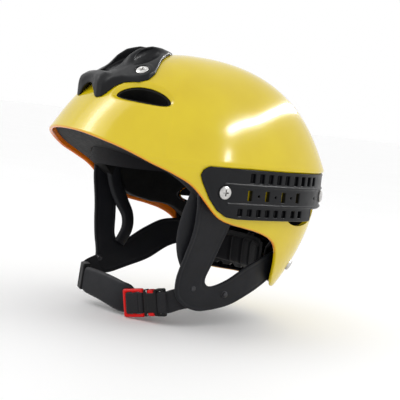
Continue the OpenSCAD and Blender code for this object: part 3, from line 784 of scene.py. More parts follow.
def woven_material(name, waves, dark, light, strength, **sockets):
    """Cloth with a weave of two crossed wave patterns: scale, distortion and direction of each."""
    mat, tree, shader = material(name, **sockets)
    where = coords(tree)
    threads = []
    for scale, distortion, direction in waves:
        wave = node(tree, "ShaderNodeTexWave", Scale=scale, Distortion=distortion,
                    bands_direction=direction)
        link(tree, where, wave.inputs["Vector"])
        threads.append(wave.outputs["Color"])
    weave = mixed(tree, 0.5, *threads)
    link(tree, ramp(tree, weave, (0.2, dark), (0.8, light)), shader.inputs["Base Color"])
    bump(tree, shader, weave, strength, 0.0003)
    return mat


def pad_material():
    """Brushed cloth over foam."""
    return woven_material("pad_fabric", ((420.0, 1.5, "X"), (420.0, 1.5, "Z")), (0.005, 0.005, 0.006),
                          (0.013, 0.013, 0.015), 0.5, Roughness=0.95, specular_ior_level=0.1,
                          sheen_weight=0.12, sheen_roughness=0.5)


def leather_material():
    """Fine-grained synthetic leather with a satin sheen."""
    mat, tree, shader = material("harness_leather", Roughness=0.5, specular_ior_level=0.2,
                                 coat_weight=0.03,
                                 coat_roughness=0.35)
    where = coords(tree)
    pebbles = node(tree, "ShaderNodeTexVoronoi", Scale=1100.0)
    link(tree, where, pebbles.inputs["Vector"])
    link(tree, ramp(tree, noise(tree, where, 35.0, 4), (0.3, (0.0075, 0.0080, 0.0100)),
                    (0.75, (0.0125, 0.0130, 0.0160))),
         shader.inputs["Base Color"])
    link(tree, ramp(tree, noise(tree, where, 120.0, 5), (0.3, 0.40), (0.7, 0.56)),
         shader.inputs["Roughness"])
    height = mixed(tree, 0.5, pebbles.outputs["Distance"], noise(tree, where, 500.0, 4))
    bump(tree, shader, height, 0.18, 0.0003)
    return mat


def webbing_material():
    """Woven tape with a herringbone lean."""
    return woven_material("webbing", ((330.0, 0.3, "DIAGONAL"), (260.0, 0.3, "Z")),
                          (0.006, 0.006, 0.007),
                          (0.020, 0.020, 0.023), 0.45, Roughness=0.8, specular_ior_level=0.25,
                          sheen_weight=0.2, sheen_roughness=0.4)


def moulded_material(name, colour, rough, grain=0.10, lift=0.5, specular=0.45):
    """Injection-moulded plastic with a fine spark texture and slightly worn sheen."""
    mat, tree, shader = material(name, Roughness=rough, specular_ior_level=specular)
    where = coords(tree)
    dark, light = tuple(c * 0.82 for c in colour), tuple(c * (1 + 0.25 * lift) for c in colour)
    link(tree, ramp(tree, noise(tree, where, 45.0, 4), (0.3, dark), (0.75, light)),
         shader.inputs["Base Color"])
    link(tree, ramp(tree, noise(tree, where, 160.0, 4), (0.3, rough - 0.07), (0.7, rough + 0.09)),
         shader.inputs["Roughness"])
    bump(tree, shader, noise(tree, where, 1600.0, 3), grain, 0.0002)
    return mat


def steel_material(name="steel", low=(0.44, 0.43, 0.42), high=(0.74, 0.73, 0.71)):
    """Zinc-plated or blackened steel with turned marks."""
    mat, tree, shader = material(name, Metallic=1.0, Roughness=0.3)
    where = coords(tree)
    link(tree, ramp(tree, noise(tree, where, 180.0, 5), (0.3, low), (0.7, high)),
         shader.inputs["Base Color"])
    link(tree, ramp(tree, noise(tree, where, 420.0, 4), (0.3, 0.22), (0.7, 0.42)),
         shader.inputs["Roughness"])
    bump(tree, shader, noise(tree, where, 900.0, 3), 0.12, 0.0002)
    return mat


MAT = {
    "shell": shell_material(),
    "foam": foam_material(),
    "pad": pad_material(),
    "leather": leather_material(),
    "webbing": webbing_material(),
    "satin": moulded_material("black_satin", (0.0048, 0.0052, 0.0066), 0.36, 0.10, specular=0.22),
    "black": moulded_material("black_moulding", (0.0060, 0.0060, 0.0068), 0.42, 0.15, specular=0.22),
    "red": moulded_material("red_moulding", (0.74, 0.0035, 0.0030), 0.34, 0.06, 0.15, specular=0.25),
    "steel": steel_material(),
    "dark_steel": steel_material("steel_blackened", (0.035, 0.035, 0.038), (0.07, 0.07, 0.075)),
}


def mirrored(obj, name):
    """A copy reflected across the centre plane."""
    out = obj.copy()
    out.data = obj.data.copy()
    out.name = name
    bpy.context.scene.collection.objects.link(out)
    with editing(out) as bm:
        for vert in bm.verts:
            vert.co.x = -vert.co.x
        bmesh.ops.reverse_faces(bm, faces=bm.faces)
    return out


# ---- rails --------------------------------------------------------------------------------------
ARC1, R1, ARC2, R2 = (-189.51, -2.72), 294.2, (-1.06, 31.27), 102.7
TURN, NOSE_ANGLE, RAIL_WALL = 10.225, -10.4, 4.8
TURN_RUN = R1 * math.radians(TURN - NOSE_ANGLE)
RAIL_OUTLINE = [(7, 17.2), (2.6, 14.6), (1.0, 11.4), (3.0, 6.4), (11.2, -7.2), (20.6, -17.2),
                (30.6, -22.4), (41, -23.5), (136.2, -23.5), (136.2, -12.4), (188.4, -12.4), (188.4, 17)]
# angles along the rail of its holes
UPPER_POCKETS = (-0.2, 1.82, 3.84, 5.87, 7.9, 10.3, 16.1, 21.9, 27.6)
LOWER_POCKETS = (-2.2, -0.2, 1.82, 3.84, 5.87, 7.9, 10.3, 16.1)
RAIL_SLOTS, RAIL_DOTS, RAIL_SCREWS = (-0.44, 3.45, 7.35, 12.9), (1.5, 5.4, 9.3, 30.7), (-5.72, 43.2)


def rail_run(angle):
    """Arc length along the rail at an angle of whichever arc it lies on."""
    return R1 * math.radians(angle - NOSE_ANGLE) if angle <= TURN else TURN_RUN + R2 * math.radians(angle - TURN)


def rail_warp(p):
    s, z, w = p.T
    first = s < TURN_RUN
    a1 = math.radians(NOSE_ANGLE) + s / R1
    a2 = math.radians(TURN) + (s - TURN_RUN) / R2
    x = np.where(first, ARC1[0] + (R1 + w) * np.cos(a1), ARC2[0] + (R2 + w) * np.cos(a2))
    y = np.where(first, ARC1[1] + (R1 + w) * np.sin(a1), ARC2[1] + (R2 + w) * np.sin(a2))
    return np.stack([x, y, z], -1)


def shell_offset(s, z):
    """The shell's surface over the rail's own coordinates, measured outwards from the arcs."""
    out = np.zeros((len(s), len(z)))
    a = np.linspace(35, 172, 700)
    for j, level in enumerate(z):
        x, y, _ = skirt_point(a, np.maximum(crease(a) - level, 0), 0.0).T
        s1 = R1 * (np.arctan2(y - ARC1[1], x - ARC1[0]) - math.radians(NOSE_ANGLE))
        s2 = TURN_RUN + R2 * (np.arctan2(y - ARC2[1], x - ARC2[0]) - math.radians(TURN))
        first = s1 < TURN_RUN
        run = np.where(first, s1, np.maximum(s2, TURN_RUN))
        off = np.where(first, np.hypot(x - ARC1[0], y - ARC1[1]) - R1,
                       np.hypot(x - ARC2[0], y - ARC2[1]) - R2)
        out[:, j] = np.interp(s, run, off)
    return out


def rail_distance(s, z, w):
    shell = shell_offset(s[:, 0, 0], z[0, :, 0])[..., None]
    edge = outline(s, z, RAIL_OUTLINE) - 2.2
    slope = np.clip(-edge / 7.0, 0, 1)
    nose = np.clip((40 - s) / 20, 0, 1)
    face = -2.4 * (1 - slope * slope * (3 - 2 * slope)) * nose
    ridges = np.minimum(box2(s, z, 103, 4.8, 80, 1.1, 0.9), box2(s, z, 103, -12.3, 76, 1.0, 0.9))
    rim = np.abs(edge + 1.3) - 0.6
    face = np.maximum(face, shell + 1.6 + 0.9 * slope)
    face = face + 1.1 / (1 + np.exp(np.clip(ridges / 0.22, -30,
                                            30))) + 0.4 / (1 + np.exp(np.clip(rim / 0.25, -30, 30)))
    d = smax(edge, w - face, 0.9)
    d = smax(d, -(w - np.maximum(shell + 0.15, -RAIL_WALL)), 0.4)
    upper = [box2(s, z, rail_run(a), 11.8, 2.75, 4.3, 0.7) for a in UPPER_POCKETS]
    lower = [box2(s, z, rail_run(a), -19.2, 2.7, 3.3, 0.7) for a in LOWER_POCKETS]
    pocket = upper[0]
    for hole in upper[1:] + lower:
        pocket = np.minimum(pocket, hole)
    d = smax(d, -np.maximum(pocket, -(w - np.maximum(shell + 0.9, -3.9))), 0.5)
    slots = [box2(s, z, rail_run(a), -4, 2.3, 4.75, 0.5) for a in RAIL_SLOTS]
    slots += [np.hypot(s - rail_run(a), z + 4) - 1.2 for a in RAIL_DOTS]
    for hole in slots:
        d = smax(d, -hole, 0.4)
    for a in RAIL_SCREWS:
        d = smax(d, -(np.hypot(s - rail_run(a), z + 2.5) - 2.8), 0.3)
        seat = np.hypot(s - rail_run(a), z + 2.5) - 6.6
        d = smax(d, -np.maximum(seat, -(w - 0.05)), 0.2)
    return d


def build_rail():
    rail = solid("left_rail_moulding", rail_distance, (-8, -27.4, -6.2), (192.4, 21, 3.2), 0.66,
                 rail_warp)
    return soften(rail, 75)


# ---- front clip ---------------------------------------------------------------------------------
CLIP_OUTLINE = [(6, -40), (12, -47), (25, -62), (36, -72), (42.5, -78.5), (45, -86), (42, -94),
                (36, -99.5), (31, -104),
                (27.5, -110), (25.5, -117), (23, -120.5), (18, -122.5), (10, -122.5), (0, -121.5)]
CLIP_SCREW = np.array([33.4, -86.4, 94])
SCREW_AXIS = np.array([sind(36) * cosd(-58), sind(36) * sind(-58), cosd(36)])


def dome_height(x, y):
    """Height of the shell over plan points, and the cosine of its slope."""
    a = np.linspace(-180, 180, 1441)
    rim = np.stack([plan_r(a, 0.0) * sind(a), -plan_r(a, 0.0) * cosd(a)], -1) - [0, CROWN_Y]
    heading = np.unwrap(np.arctan2(rim[:, 0], -rim[:, 1]))

    def height(px, py):
        at = np.interp(np.arctan2(px, -(py - CROWN_Y)), heading, a)
        want = np.hypot(px, py - CROWN_Y)
        lo, hi = np.zeros(px.shape), np.ones(px.shape)
        for _ in range(24):
            mid = (lo + hi) / 2
            p = dome_point(at, mid, 0.0)
            short = np.hypot(p[..., 0], p[..., 1] - CROWN_Y) < want
            lo, hi = np.where(short, mid, lo), np.where(short, hi, mid)
        return dome_point(at, (lo + hi) / 2, 0.0)[..., 2]

    z = height(x, y)
    e = 0.5
    gx = (height(x + e, y) - height(x - e, y)) / (2 * e)
    gy = (height(x, y + e) - height(x, y - e)) / (2 * e)
    return z, 1 / np.sqrt(1 + gx * gx + gy * gy)


def clip_distance(x, y, z):
    flat_z, slope = dome_height(x[:, :, 0], y[:, :, 0])
    h = (z - flat_z[..., None]) * slope[..., None]
    ax = np.abs(x)
    edge = outline(ax[:, :, 0], y[:, :, 0], CLIP_OUTLINE + [(-40, -121), (-40, -40)])[..., None] + 0 * z
    # height of the raised middle, its half width, and height of the sides, all from front to back
    ys = y[0, :, 0]
    rise = np.interp(ys, [-126, -121, -115, -109, -103, -96, -89, -80, -66, -56, -48, -41],
                     [10.5, 11.4, 10.2, 6.8, 5.4, 6.2, 9.8, 11.6, 10.6, 7.6, 4.4, 1.8])
    wide = np.interp(ys, [-126, -114, -102, -88, -70, -55, -42], [19, 17, 13.5, 13, 14, 12, 6])
    lobe = np.interp(ys, [-126, -114, -104, -92, -80, -65, -50, -40],
                     [8.2, 7.6, 5.6, 4.6, 4.4, 4.4, 3.8, 1.4])
    shape = np.clip((wide[None, :, None] + 7 - ax) / 9, 0, 1)
    top = lobe[None, :, None] + (rise - lobe)[None, :, None] * shape * shape * (3 - 2 * shape)
    top = top - 1.4 * np.clip((ax - 22) / 18, 0, 1)
    d = smax(edge, h - top, 2.6)
    d = smax(d, -(h - 0.25), 0.4)
    channel = smax(box2(x, y, 0, -83.5, 9.8, 28, 6.5), -(h - 3.0), 1.5)
    dip = (np.sqrt((x / 12) ** 2 + ((y + 125.5) / 5.5) ** 2 + ((h - 10) / 7) ** 2) - 1) * 6
    d = smax(d, -dip, 2.0)
    d = smax(d, -channel, 0.9)
    bx, by, bh = (ax - 20.5) / 9.0, (y + 75 + 0.5 * (ax - 19)) / 15.0, (h - 7.4) / 6.0
    pocket = (np.sqrt(bx * bx + by * by + bh * bh) - 1) * 6.8
    d = smax(d, -pocket, 1.2)
    arch = (np.sqrt((x / 12.5) ** 2 + (h / 5.6) ** 2) - 1) * 7
    arch = smax(arch, y + 101 - 0.2 * h, 3)
    d = smax(d, -arch, 1.8)
    rel = np.stack([ax, y, z], -1) - CLIP_SCREW
    depth = rel @ SCREW_AXIS
    radius = np.sqrt(np.maximum((rel ** 2).sum(-1) - depth ** 2, 0))
    d = smin(d, smax(radius - 9.0, np.maximum(depth - 2.2, -depth - 2), 1.5), 3.0)
    d = smax(d, -np.maximum(radius - 6.3, -(depth - 1.3)), 0.5)
    return smax(d, -np.maximum(radius - 2.7, -depth - 8), 0.2)


def build_clip():
    clip = solid("front_clip", clip_distance, (-48, -129, 56), (48, -37, 131), 0.72)
    return soften(clip, 80)


# ---- harness --------------------------------------------------------------------------------------
NEAR_SHEET = [(-47, 9), (-50, -5), (-47, -21), (-44, -43), (-45.5, -65), (-48, -84), (-46, -100),
              (-38, -110),
              (-26, -115.5), (-12, -117), (15, -112), (36, -101.5), (62, -87.5), (77, -80),
              (77, -56.5), (66, -57),
              (52, -60), (29, -72), (10, -86), (-6, -93), (-14, -92), (-17, -86), (-14, -73),
              (-10, -52), (-7, -33),
              (-6, 9)]
FAR_SHEET = [(-56, 9), (-60, -5), (-60, -34), (-61, -64), (-60, -86), (-64, -97), (-58, -104),
             (-46, -105),
             (-23, -98), (1, -90), (26, -77), (44, -72.5), (60, -75), (76.5, -81), (76.5, -60.5),
             (60, -54.5), (42, -48.5),
             (20, -50), (-4, -60), (-24, -71), (-33, -73), (-38, -67), (-36.5, -48), (-35, -23),
             (-34, 9)]


def sheet_x(y, z, far):
    """How far out the leather hangs at a place in side view."""
    if far:
        zs, xs = (-118, -106, -95, -86, -70, -50, -28, -8, 5), (61, 62, 63.5, 66, 70.5, 76, 81.5, 88,
                                                                89.4)
        return np.interp(z, zs, xs) - 15.3 * np.maximum(0, (y - 12) / 63) ** 1.9
    zs, xs = (-120, -103, -88, -68, -47, -27, -8, 6), (62, 63.6, 66, 71, 77.5, 84.5, 89, 90)
    return np.interp(z, zs, xs) - 15 * np.maximum(0, (y - 30) / 45) ** 2


def build_sheet(name, points, far):
    smooth = spline(points, 150, closed=True)

    def distance(y, z, w):
        edge = outline(y[:, :, 0], z[:, :, 0], smooth)[..., None] + 0 * w
        half = 1.55 - 0.38 * np.exp(-((edge + 3.4) / 0.55) ** 2) + 0.25 * np.exp(-((edge + 1.6) / 1.2) ** 2)
        return smax(edge, np.abs(w) - half, 1.3)

    def warp(p):
        y, z, w = p.T
        z_soft = np.stack([sheet_x(y, z + k, far) for k in (-9, -5, 0, 5, 9)]).mean(0)
        return np.stack([z_soft + w, y, z], -1)

    low, high = np.min(smooth, 0) - 2, np.max(smooth, 0) + 2
    sheet = solid(name, distance, (low[0], low[1], -2.9), (high[0], high[1], 2.9), 0.8, warp)
    if far:
        flipped = mirrored(sheet, name)
        bpy.data.objects.remove(sheet)
        flipped.name = name
        return soften(flipped, 80)
    outward(sheet)
    return soften(sheet, 80)


def build_inner_straps():
    near = strap_mesh("left_inner_pad",
                      [(78, -38, 5), (75, -40, -12), (70, -41, -30), (66, -40.5, -48), (62, -36, -64),
                                         (60, -31, -77)], [8, 9, 10, 10.3, 9.6, 7.5],
                                         [(0.25, 0.95, -0.1)] * 6, 5.0,
                      crown=1.2, hem=0.4)
    far = strap_mesh("right_inner_pad",
                     [(-79, -44, 4), (-77, -39.5, -16), (-74, -33, -32), (-70, -26.5, -46),
                                         (-66, -27.5, -60), (-63.5, -36, -75)],
                                         [8, 8.5, 8.2, 7.0, 6.4, 6],
                     [(-0.15, 0.98, 0.1)] * 6, 5.0, crown=1.2, hem=0.4)
    return near, far


# ---- chin strap -----------------------------------------------------------------------------------
BUCKLE = np.array([30.4, -55.5, -115.8])
ALONG = np.array([-0.8310, -0.5230, -0.1896])
DOWN = np.array([0.1605, 0.1010, -0.9819])
OUT = np.cross(ALONG, DOWN)


def to_part(p):
    return BUCKLE + p[:, :1] * ALONG + p[:, 1:2] * DOWN + p[:, 2:3] * OUT


def local_solid(name, distance, low, high, step):
    obj = solid(name, distance, low, high, step, to_part)
    outward(obj)
    return soften(obj, 80)


def female_distance(x, y, z):
    waist = 13.0 - 1.1 * np.exp(-((x + 8) / 4.5) ** 2)
    d = smax(box3(x, y, z, (-6.9, 0, 0), (6.9, 13, 5.0), 2.4), np.abs(y) - waist, 1.0)
    end = box3(x, y, z, (-17, 0, 0), (4.2, 13, 3.0), 1.6)
    end = smax(end, -box3(x, y, z, (-15.4, 0, 0), (2.3, 10.6, 6), 1.0), 0.6)
    d = smin(d, end, 1.2)
    bar = np.hypot(x + 19.4, z) - 2.1
    d = smin(d, smax(bar, np.abs(y) - 12.4, 0.5), 0.6)
    d = smax(d, -box3(x, y, z, (-5.4, 0, 0), (7.0, 11.75, 3.1), 0.5), 0.4)
    d = smax(d, -box3(x, np.abs(y), z, (-7.4, 13.4, 0), (4.0, 4.2, 7), 1.6), 1.2)
    groove = np.minimum(np.abs(x + 2.2), np.abs(x + 3.8)) - 0.3
    return smax(d, -np.maximum(groove, 4.75 - np.abs(z)), 0.3)


def male_distance(x, y, z):
    frame_ = box3(x, y, z, (11.5, 0, 0), (10.9, 13.4, 2.6), 2.3)
    frame_ = smax(frame_, -box2(x, y, 11.3, 0, 7.9, 10.3, 2.2), 1.4)
    bar = smax(np.hypot(x - 11, z) - 1.9, np.abs(y) - 11.5, 0.5)
    guide = box3(x, y, z, (-4.5, 0, 0), (6.0, 2.6, 2.0), 1.0)
    return smin(smin(frame_, bar, 0.8), guide, 1.2)


def prong_distance(x, y, z):
    arm = box3(x, y, z, (-5.6, 6.4, 0), (5.9, 1.25, 2.4), 0.9)
    head = box3(x, y, z, (-7.4, 10.2, 0), (3.4, 2.3, 4.0), 1.6)
    head = smax(head, -(np.abs(np.mod(x, 1.4) - 0.7) - 0.25 + 6 * (y < 11.7)), 0.2)
    return smin(arm, head, 1.6)


def build_buckle():
    female = local_solid("buckle_socket", female_distance, (-22.5, -14.4, -6), (1.2, 14.4, 6), 0.45)
    male = local_solid("buckle_loop", male_distance, (-12, -14.6, -3.6), (23.6, 14.6, 3.6), 0.45)
    low = local_solid("prong_low", prong_distance, (-12.6, 4, -5), (1.4, 13.8, 5), 0.42)
    up = local_solid("prong_up", lambda x, y, z: prong_distance(x, -y, z), (-12.6, -13.8, -5),
                     (1.4, -4, 5), 0.42)
    return female, male, up, low


def male_loop(x, y, z):
    d = box3(x, y, z, (9.6, 0, 0), (9.2, 9.9, 3.9), 1.9)
    seam = np.abs(x - 5.4) - 0.35
    d = smax(d, -np.maximum(seam, 3.4 - np.abs(z)), 0.3)
    return smax(d, -(np.hypot(x - 11, z) - 2.0), 0.2)


STRAP_PATH = [(-60.4, -58, -95), (-62.4, -68, -101), (-60, -75.4, -106.4), (-50, -76.6, -108),
              (-42, -74.4, -109.2),
              (-25, -70.6, -111), (-8, -66.6, -114.2), (4, -64.4, -118)]
STRAP_UP = [(0, -0.5, 0.86), (0.05, -0.4, 0.9), (0.1, -0.06, 0.99), (0.12, 0, 0.99), (0.1, 0, 0.99),
            (0.14, 0, 0.99), (0.2, 0, 0.98), (0.25, 0, 0.97)]
COVER_SHIFT = np.array([-0.22, -0.96, -0.05]) * 3.7


def build_chin():
    tape = strap_mesh("chin_tape", STRAP_PATH, [9.5] + [10] * 7, STRAP_UP, 1.6, 120)
    path = np.array([(-46.4, -75.7, -108.6), (-42, -74.4, -109), (-25, -70.6, -110.4),
                     (-8, -66.6, -112.8),
                     (3.6, -62.6, -115.2), (12, -57.4, -115.8), (18.5, -52.6, -115.8)]) + COVER_SHIFT
    cover = strap_mesh("chin_sleeve", path, [11.6, 13, 13.8, 14.6, 14.8, 13.4, 7.5],
                       STRAP_UP[3:] + STRAP_UP[-2:],
                       3.9, 110, crown=0.7, hem=0.35)
    return tape, cover


def build_left_tape():
    """The webbing from the harness to the socket's bar."""
    start = to_part(np.array([[-23.0, 0, 0]]))[0]
    run = strap_mesh("left_tape", [tuple(to_part(np.array([[-17.6, 0, 2.6]]))[0]),
                                   tuple(start + OUT * 1.2),
                                   (55.6, -39.5, -108), (59.4, -33, -105.5), (60.3, -23, -104.4)],
                                   [10] * 5,
                     [tuple(DOWN), tuple(DOWN), (0.1, 0.1, -1), (0.1, 0.1, -1), (0.1, 0.1, -1)], 1.6,
                     60)
    wrap = local_solid("left_wrap", lambda x, y, z: smax(
        box3(x, y, z, (-18.6, 0, 0), (5.2, 9.9, 3.7), 1.8), -(np.hypot(x + 19.4, z) - 2.15), 0.2),
        (-25, -11, -5), (-12.6, 11, 5), 0.5)
    return joined("left_tape", run, wrap)


# ---- pads -----------------------------------------------------------------------------------------
NAPE_R, NAPE_TOP, NAPE_HEIGHT = 74.2, -55.8, 28.4


def nape_point(a, q, o):
    """The nape cradle's inner face, from its top edge at q 0 to its lower edge at q 1."""
    a, q = np.broadcast_arrays(a, q)
    r = NAPE_R - o
    return np.stack([r * sind(a), -r * cosd(a), NAPE_TOP - NAPE_HEIGHT * q], -1)


def build_pad(name, a0, a1, q0, q1, thick, seams=(), rows=34, cols=70, mirror=False,
              surface=inner_point):
    """A crowned pad lying on a surface, with a sewn border and channels at seams along its length."""
    u = np.linspace(-1, 1, cols)
    v = np.linspace(-1, 1, rows)
    uu, vv = np.meshgrid(u, v)
    corner = np.maximum(np.abs(uu), np.abs(vv)) ** 8
    a = a0 + (a1 - a0) * (uu * (1 - 0.05 * corner * vv * vv) + 1) / 2
    q = q0 + (q1 - q0) * (vv * (1 - 0.10 * corner * uu * uu) + 1) / 2
    rise = (1 - np.abs(uu) ** 7) * (1 - np.abs(vv) ** 5)
    rise = np.maximum(rise, 0) ** 0.45
    for s in seams:
        rise = rise * (1 - 0.45 * np.exp(-((uu - s) / 0.035) ** 2))
    welt = np.exp(-((np.maximum(np.abs(uu) ** 3, np.abs(vv) ** 2) - 0.86) / 0.035) ** 2)
    rise = np.clip(rise * 0.97 - 0.10 * welt, 0.02, 1)
    top = surface(a, q, 0.5 + (thick - 0.2) * 0.999)
    base = surface(a, q, 0.55)
    pts_top = base + (top - base) * rise[..., None]
    pts = np.concatenate([pts_top.reshape(-1, 3), base.reshape(-1, 3)])
    n = rows * cols
    faces = []
    for i in range(rows - 1):
        for j in range(cols - 1):
            k = i * cols + j
            faces += [(k, k + 1, k + cols + 1, k + cols),
                      (n + k + cols, n + k + cols + 1, n + k + 1, n + k)]
    ring = list(range(cols)) + [i * cols + cols - 1 for i in range(1, rows)] \
        + [(rows - 1) * cols + j for j in range(cols - 2, -1,
                                                -1)] + [i * cols for i in range(rows - 2, 0, -1)]
    for p, r in zip(ring, ring[1:] + ring[:1]):
        faces.append((r, p, n + p, n + r))
    if mirror:
        pts = pts * MIRROR
    obj = new_object(name, pts, faces)
    outward(obj)
    return soften(obj, 70)


def lathe(name, profile, centre, axis, count=40):
    """A turned piece: (radius, height) pairs about an axis, closed at both ends."""
    n = unit(axis)
    a = unit(np.cross(n, (0.3, 0.2, 0.9)))
    b = np.cross(n, a)
    w = np.linspace(0, 2 * np.pi, count, endpoint=False)
    ring = np.cos(w)[:, None] * a + np.sin(w)[:, None] * b
    pts = np.concatenate([np.asarray(centre, float) + r * ring + h * n for r, h in profile])
    m = len(profile)
    faces = [(i * count + j, i * count + (j + 1) % count, (i + 1) * count + (j + 1) % count,
              (i + 1) * count + j)
             for i in range(m - 1) for j in range(count)]
    faces += [tuple(range(count))[::-1], tuple((m - 1) * count + j for j in range(count))]
    obj = new_object(name, pts, faces)
    outward(obj)
    return soften(obj, 50)


def button(radius, height, sink):
    """Profile of a domed rivet head with a dimple."""
    return [(radius * 0.5, -sink), (radius * 0.98, -sink), (radius, height * 0.25),
            (radius * 0.96, height * 0.55),
            (radius * 0.82, height * 0.88), (radius * 0.6, height), (radius * 0.42, height * 0.98),
            (radius * 0.36, height * 0.7), (radius * 0.2, height * 0.62),
            (radius * 0.02, height * 0.62)]


def skirt_hit(start, axis):
    """Where a line leaves the shell's skirt, and the surface normal there."""
    a, d = np.linspace(90, 170, 321), np.linspace(60, 118, 233)
    grid = skirt_point(a[:, None], d[None, :], 0.0)
    rel = grid - start
    off = rel - (rel @ axis)[..., None] * axis
    i, j = np.unravel_index(np.argmin((off ** 2).sum(-1)), off.shape[:2])
    da = skirt_point(a[i] + 0.5, d[j], 0.0) - skirt_point(a[i] - 0.5, d[j], 0.0)
    dd = skirt_point(a[i], d[j] + 0.5, 0.0) - skirt_point(a[i], d[j] - 0.5, 0.0)
    n = unit(np.cross(da, dd))
    return grid[i, j], n if n @ axis > 0 else -n


def build_rivet():
    place, n = skirt_hit(np.array([59.6, 81.6, -71]), np.array([0.5557, 0.6862, -0.4695]))
    head = lathe("rivet_head", button(5.3, 2.3, 1.0), place, n)
    shank = lathe("rivet_shank", [(2.3, -7.5), (2.3, -0.5)], place, n, 24)
    washer = lathe("rivet_washer", [(4.2, -7.6), (4.4, -7.2), (4.4, -6.2), (4.2, -5.9)], place, n, 32)
    return soften(joined("left_rivet", head, shank, washer), 40)


def build_keeper():
    c8, s8, c7, s7 = cosd(8.5), sind(8.5), cosd(-6.8), sind(-6.8)

    def distance(x, y, z):
        d = box3(x, y, z, (-0.4, 0, 0), (4.8, 4.2, 13.4), 1.6)
        waist = box3(x, np.abs(y), z, (-0.4, 4.6, 0), (3.2, 0.9, 9.0), 0.8)
        d = smax(d, -waist, 0.6)
        return smax(d, -box2(y, z, 0, 0, 1.75, 10.8, 0.5), 0.4)

    def warp(p):
        x, y, z = p.T
        x, z = x * c8 + z * s8, -x * s8 + z * c8
        x, y = x * c7 - y * s7, x * s7 + y * c7
        return np.stack([x - 55.4, y - 75.95, z - 107.15], -1)

    return soften(solid("strap_slider", distance, (-6.5, -5.6, -14.8), (5.8, 5.6, 14.8), 0.5, warp), 80)


# ---- building ---------------------------------------------------------------------------------
settle(build_shell(), MAT["shell"], "shell_gloss", "helmet", "outer_shell")
settle(build_liner(), MAT["foam"], "eva_foam", "helmet", "foam_liner")

left_rail = build_rail()
right_rail = mirrored(left_rail, "right_rail_moulding")
settle(left_rail, MAT["satin"], "black_satin", "helmet", "left_rail")
settle(right_rail, MAT["satin"], "black_satin", "helmet", "right_rail")
settle(build_clip(), MAT["satin"], "black_satin", "helmet", "front_bracket")

settle(build_sheet("left_leather", NEAR_SHEET, False), MAT["leather"], "harness_leather", "helmet",
       "left_harness")
settle(build_sheet("right_leather", FAR_SHEET, True), MAT["leather"], "harness_leather", "helmet",
       "right_harness")
near_pad, far_pad = build_inner_straps()
settle(near_pad, MAT["leather"], "harness_leather", "helmet", "left_inner_strap")
settle(far_pad, MAT["leather"], "harness_leather", "helmet", "right_inner_strap")

female, male, prong_up, prong_low = build_buckle()
settle(female, MAT["black"], "black_moulding", "helmet", "buckle_female")
settle(male, MAT["red"], "red_moulding", "buckle_male", "buckle_male")
settle(prong_up, MAT["red"], "red_moulding", "upper_prong", "upper_prong")
settle(prong_low, MAT["red"], "red_moulding", "lower_prong", "lower_prong")
settle(local_solid("male_tape", male_loop, (-0.8, -11, -5), (20, 11, 5), 0.5), MAT["webbing"],
       "webbing",
       "buckle_male", "male_webbing")
settle(build_left_tape(), MAT["webbing"], "webbing", "helmet", "left_webbing")

for piece_, mat, slot, cad in zip(build_chin(), ("webbing", "leather"), ("webbing", "harness_leather"),
                                  ("chin_webbing", "chin_cover")):
    piece_.data.materials.append(MAT[mat])
    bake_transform(piece_)
    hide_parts(cad)

BROW, TEMPLE = (-58, 58, 0.74, 1.0, 6.5, (-0.6, -0.2, 0.2, 0.6), 34, 140), (72, 112, 0.7, 1.05, 6.0,
                                                                            (0.0,), 34, 60)
for name, node_name, shape, mirror in (("brow_pad", "forehead_pad", BROW, False),
                                       ("left_temple_pad", "left_side_pad", TEMPLE, False),
                                       ("right_temple_pad", "right_side_pad", TEMPLE, True)):
    pad = build_pad(name, *shape, mirror=mirror)
    settle(pad, MAT["pad"], "pad_fabric", "helmet", node_name)
pad = joined("top_pad", build_pad("front_half", -28, 28, 0.12, 0.52, 6.0, (0.0,)),
             build_pad("rear_half", 152, 208, 0.12, 0.52, 6.0, (0.0,)))
settle(soften(pad, 70), MAT["pad"], "pad_fabric", "helmet", "crown_pad")

for node_name, width in (("left_rail_screws", 0.25), ("right_rail_screws", 0.25),
                         ("bracket_screws", 0.25),
                         ("left_studs", 0.25),
                         ("right_studs", 0.25), ("nape_cradle", 0.35), ("adjuster_knob", 0.35),
                         ("left_rack", 0.2),
                         ("right_rack", 0.2), ("nape_straps", 0.3)):
    part = next(p for p in frame["record"]["subparts"] if p["node"] == node_name)
    body = next(b for b, nodes_ in frame["record"]["behaviour"]["bodies"].items() if node_name in nodes_)
    finish = {"steel": "steel", "black_moulding": "black", "webbing": "webbing"}[part["material_slot"]]
    finish = "dark_steel" if "studs" in node_name else finish
    settle(refined(node_name, width), MAT[finish], part["material_slot"], body, node_name)
pad = build_pad("nape_cushion", 146, 214, 0.0, 1.0, 4.3, (-0.4, 0.0, 0.4), 30, 110, surface=nape_point)
settle(pad, MAT["pad"], "pad_fabric", "helmet", "nape_pad")

rivet = build_rivet()
settle(mirrored(rivet, "right_rivet"), MAT["steel"], "steel", "helmet", "right_rear_rivet")
settle(rivet, MAT["steel"], "steel", "helmet", "left_rear_rivet")
settle(build_keeper(), MAT["black"], "black_moulding", "keeper", "strap_keeper")

stud = lathe("sleeve_stud", button(1.5, 0.7, 0.6), (5.8, -66.6, -104.6), OUT, 24)
stud.data.materials.append(MAT["steel"])
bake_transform(stud)


# ---- camera, lights and stage -----------------------------------------------------------------
PITCH = math.radians(7.8)  # the helmet is held nose up by this much in the view
AZIMUTH, ELEVATION = 56.5, 9.0
DISTANCE, AIM_RIGHT, AIM_UP = 0.975, 0.008723, -0.020726  # metres
FLOOR_HALF = 40000
GLINT_REACH, BROW_REACH = 900.0, 1200


def tipped(v):
    """A direction or point of the upright room, in the helmet's frame."""
    x, y, z = v
    c, s = math.cos(PITCH), math.sin(PITCH)
    return Vector((x, y * c - z * s, y * s + z * c))


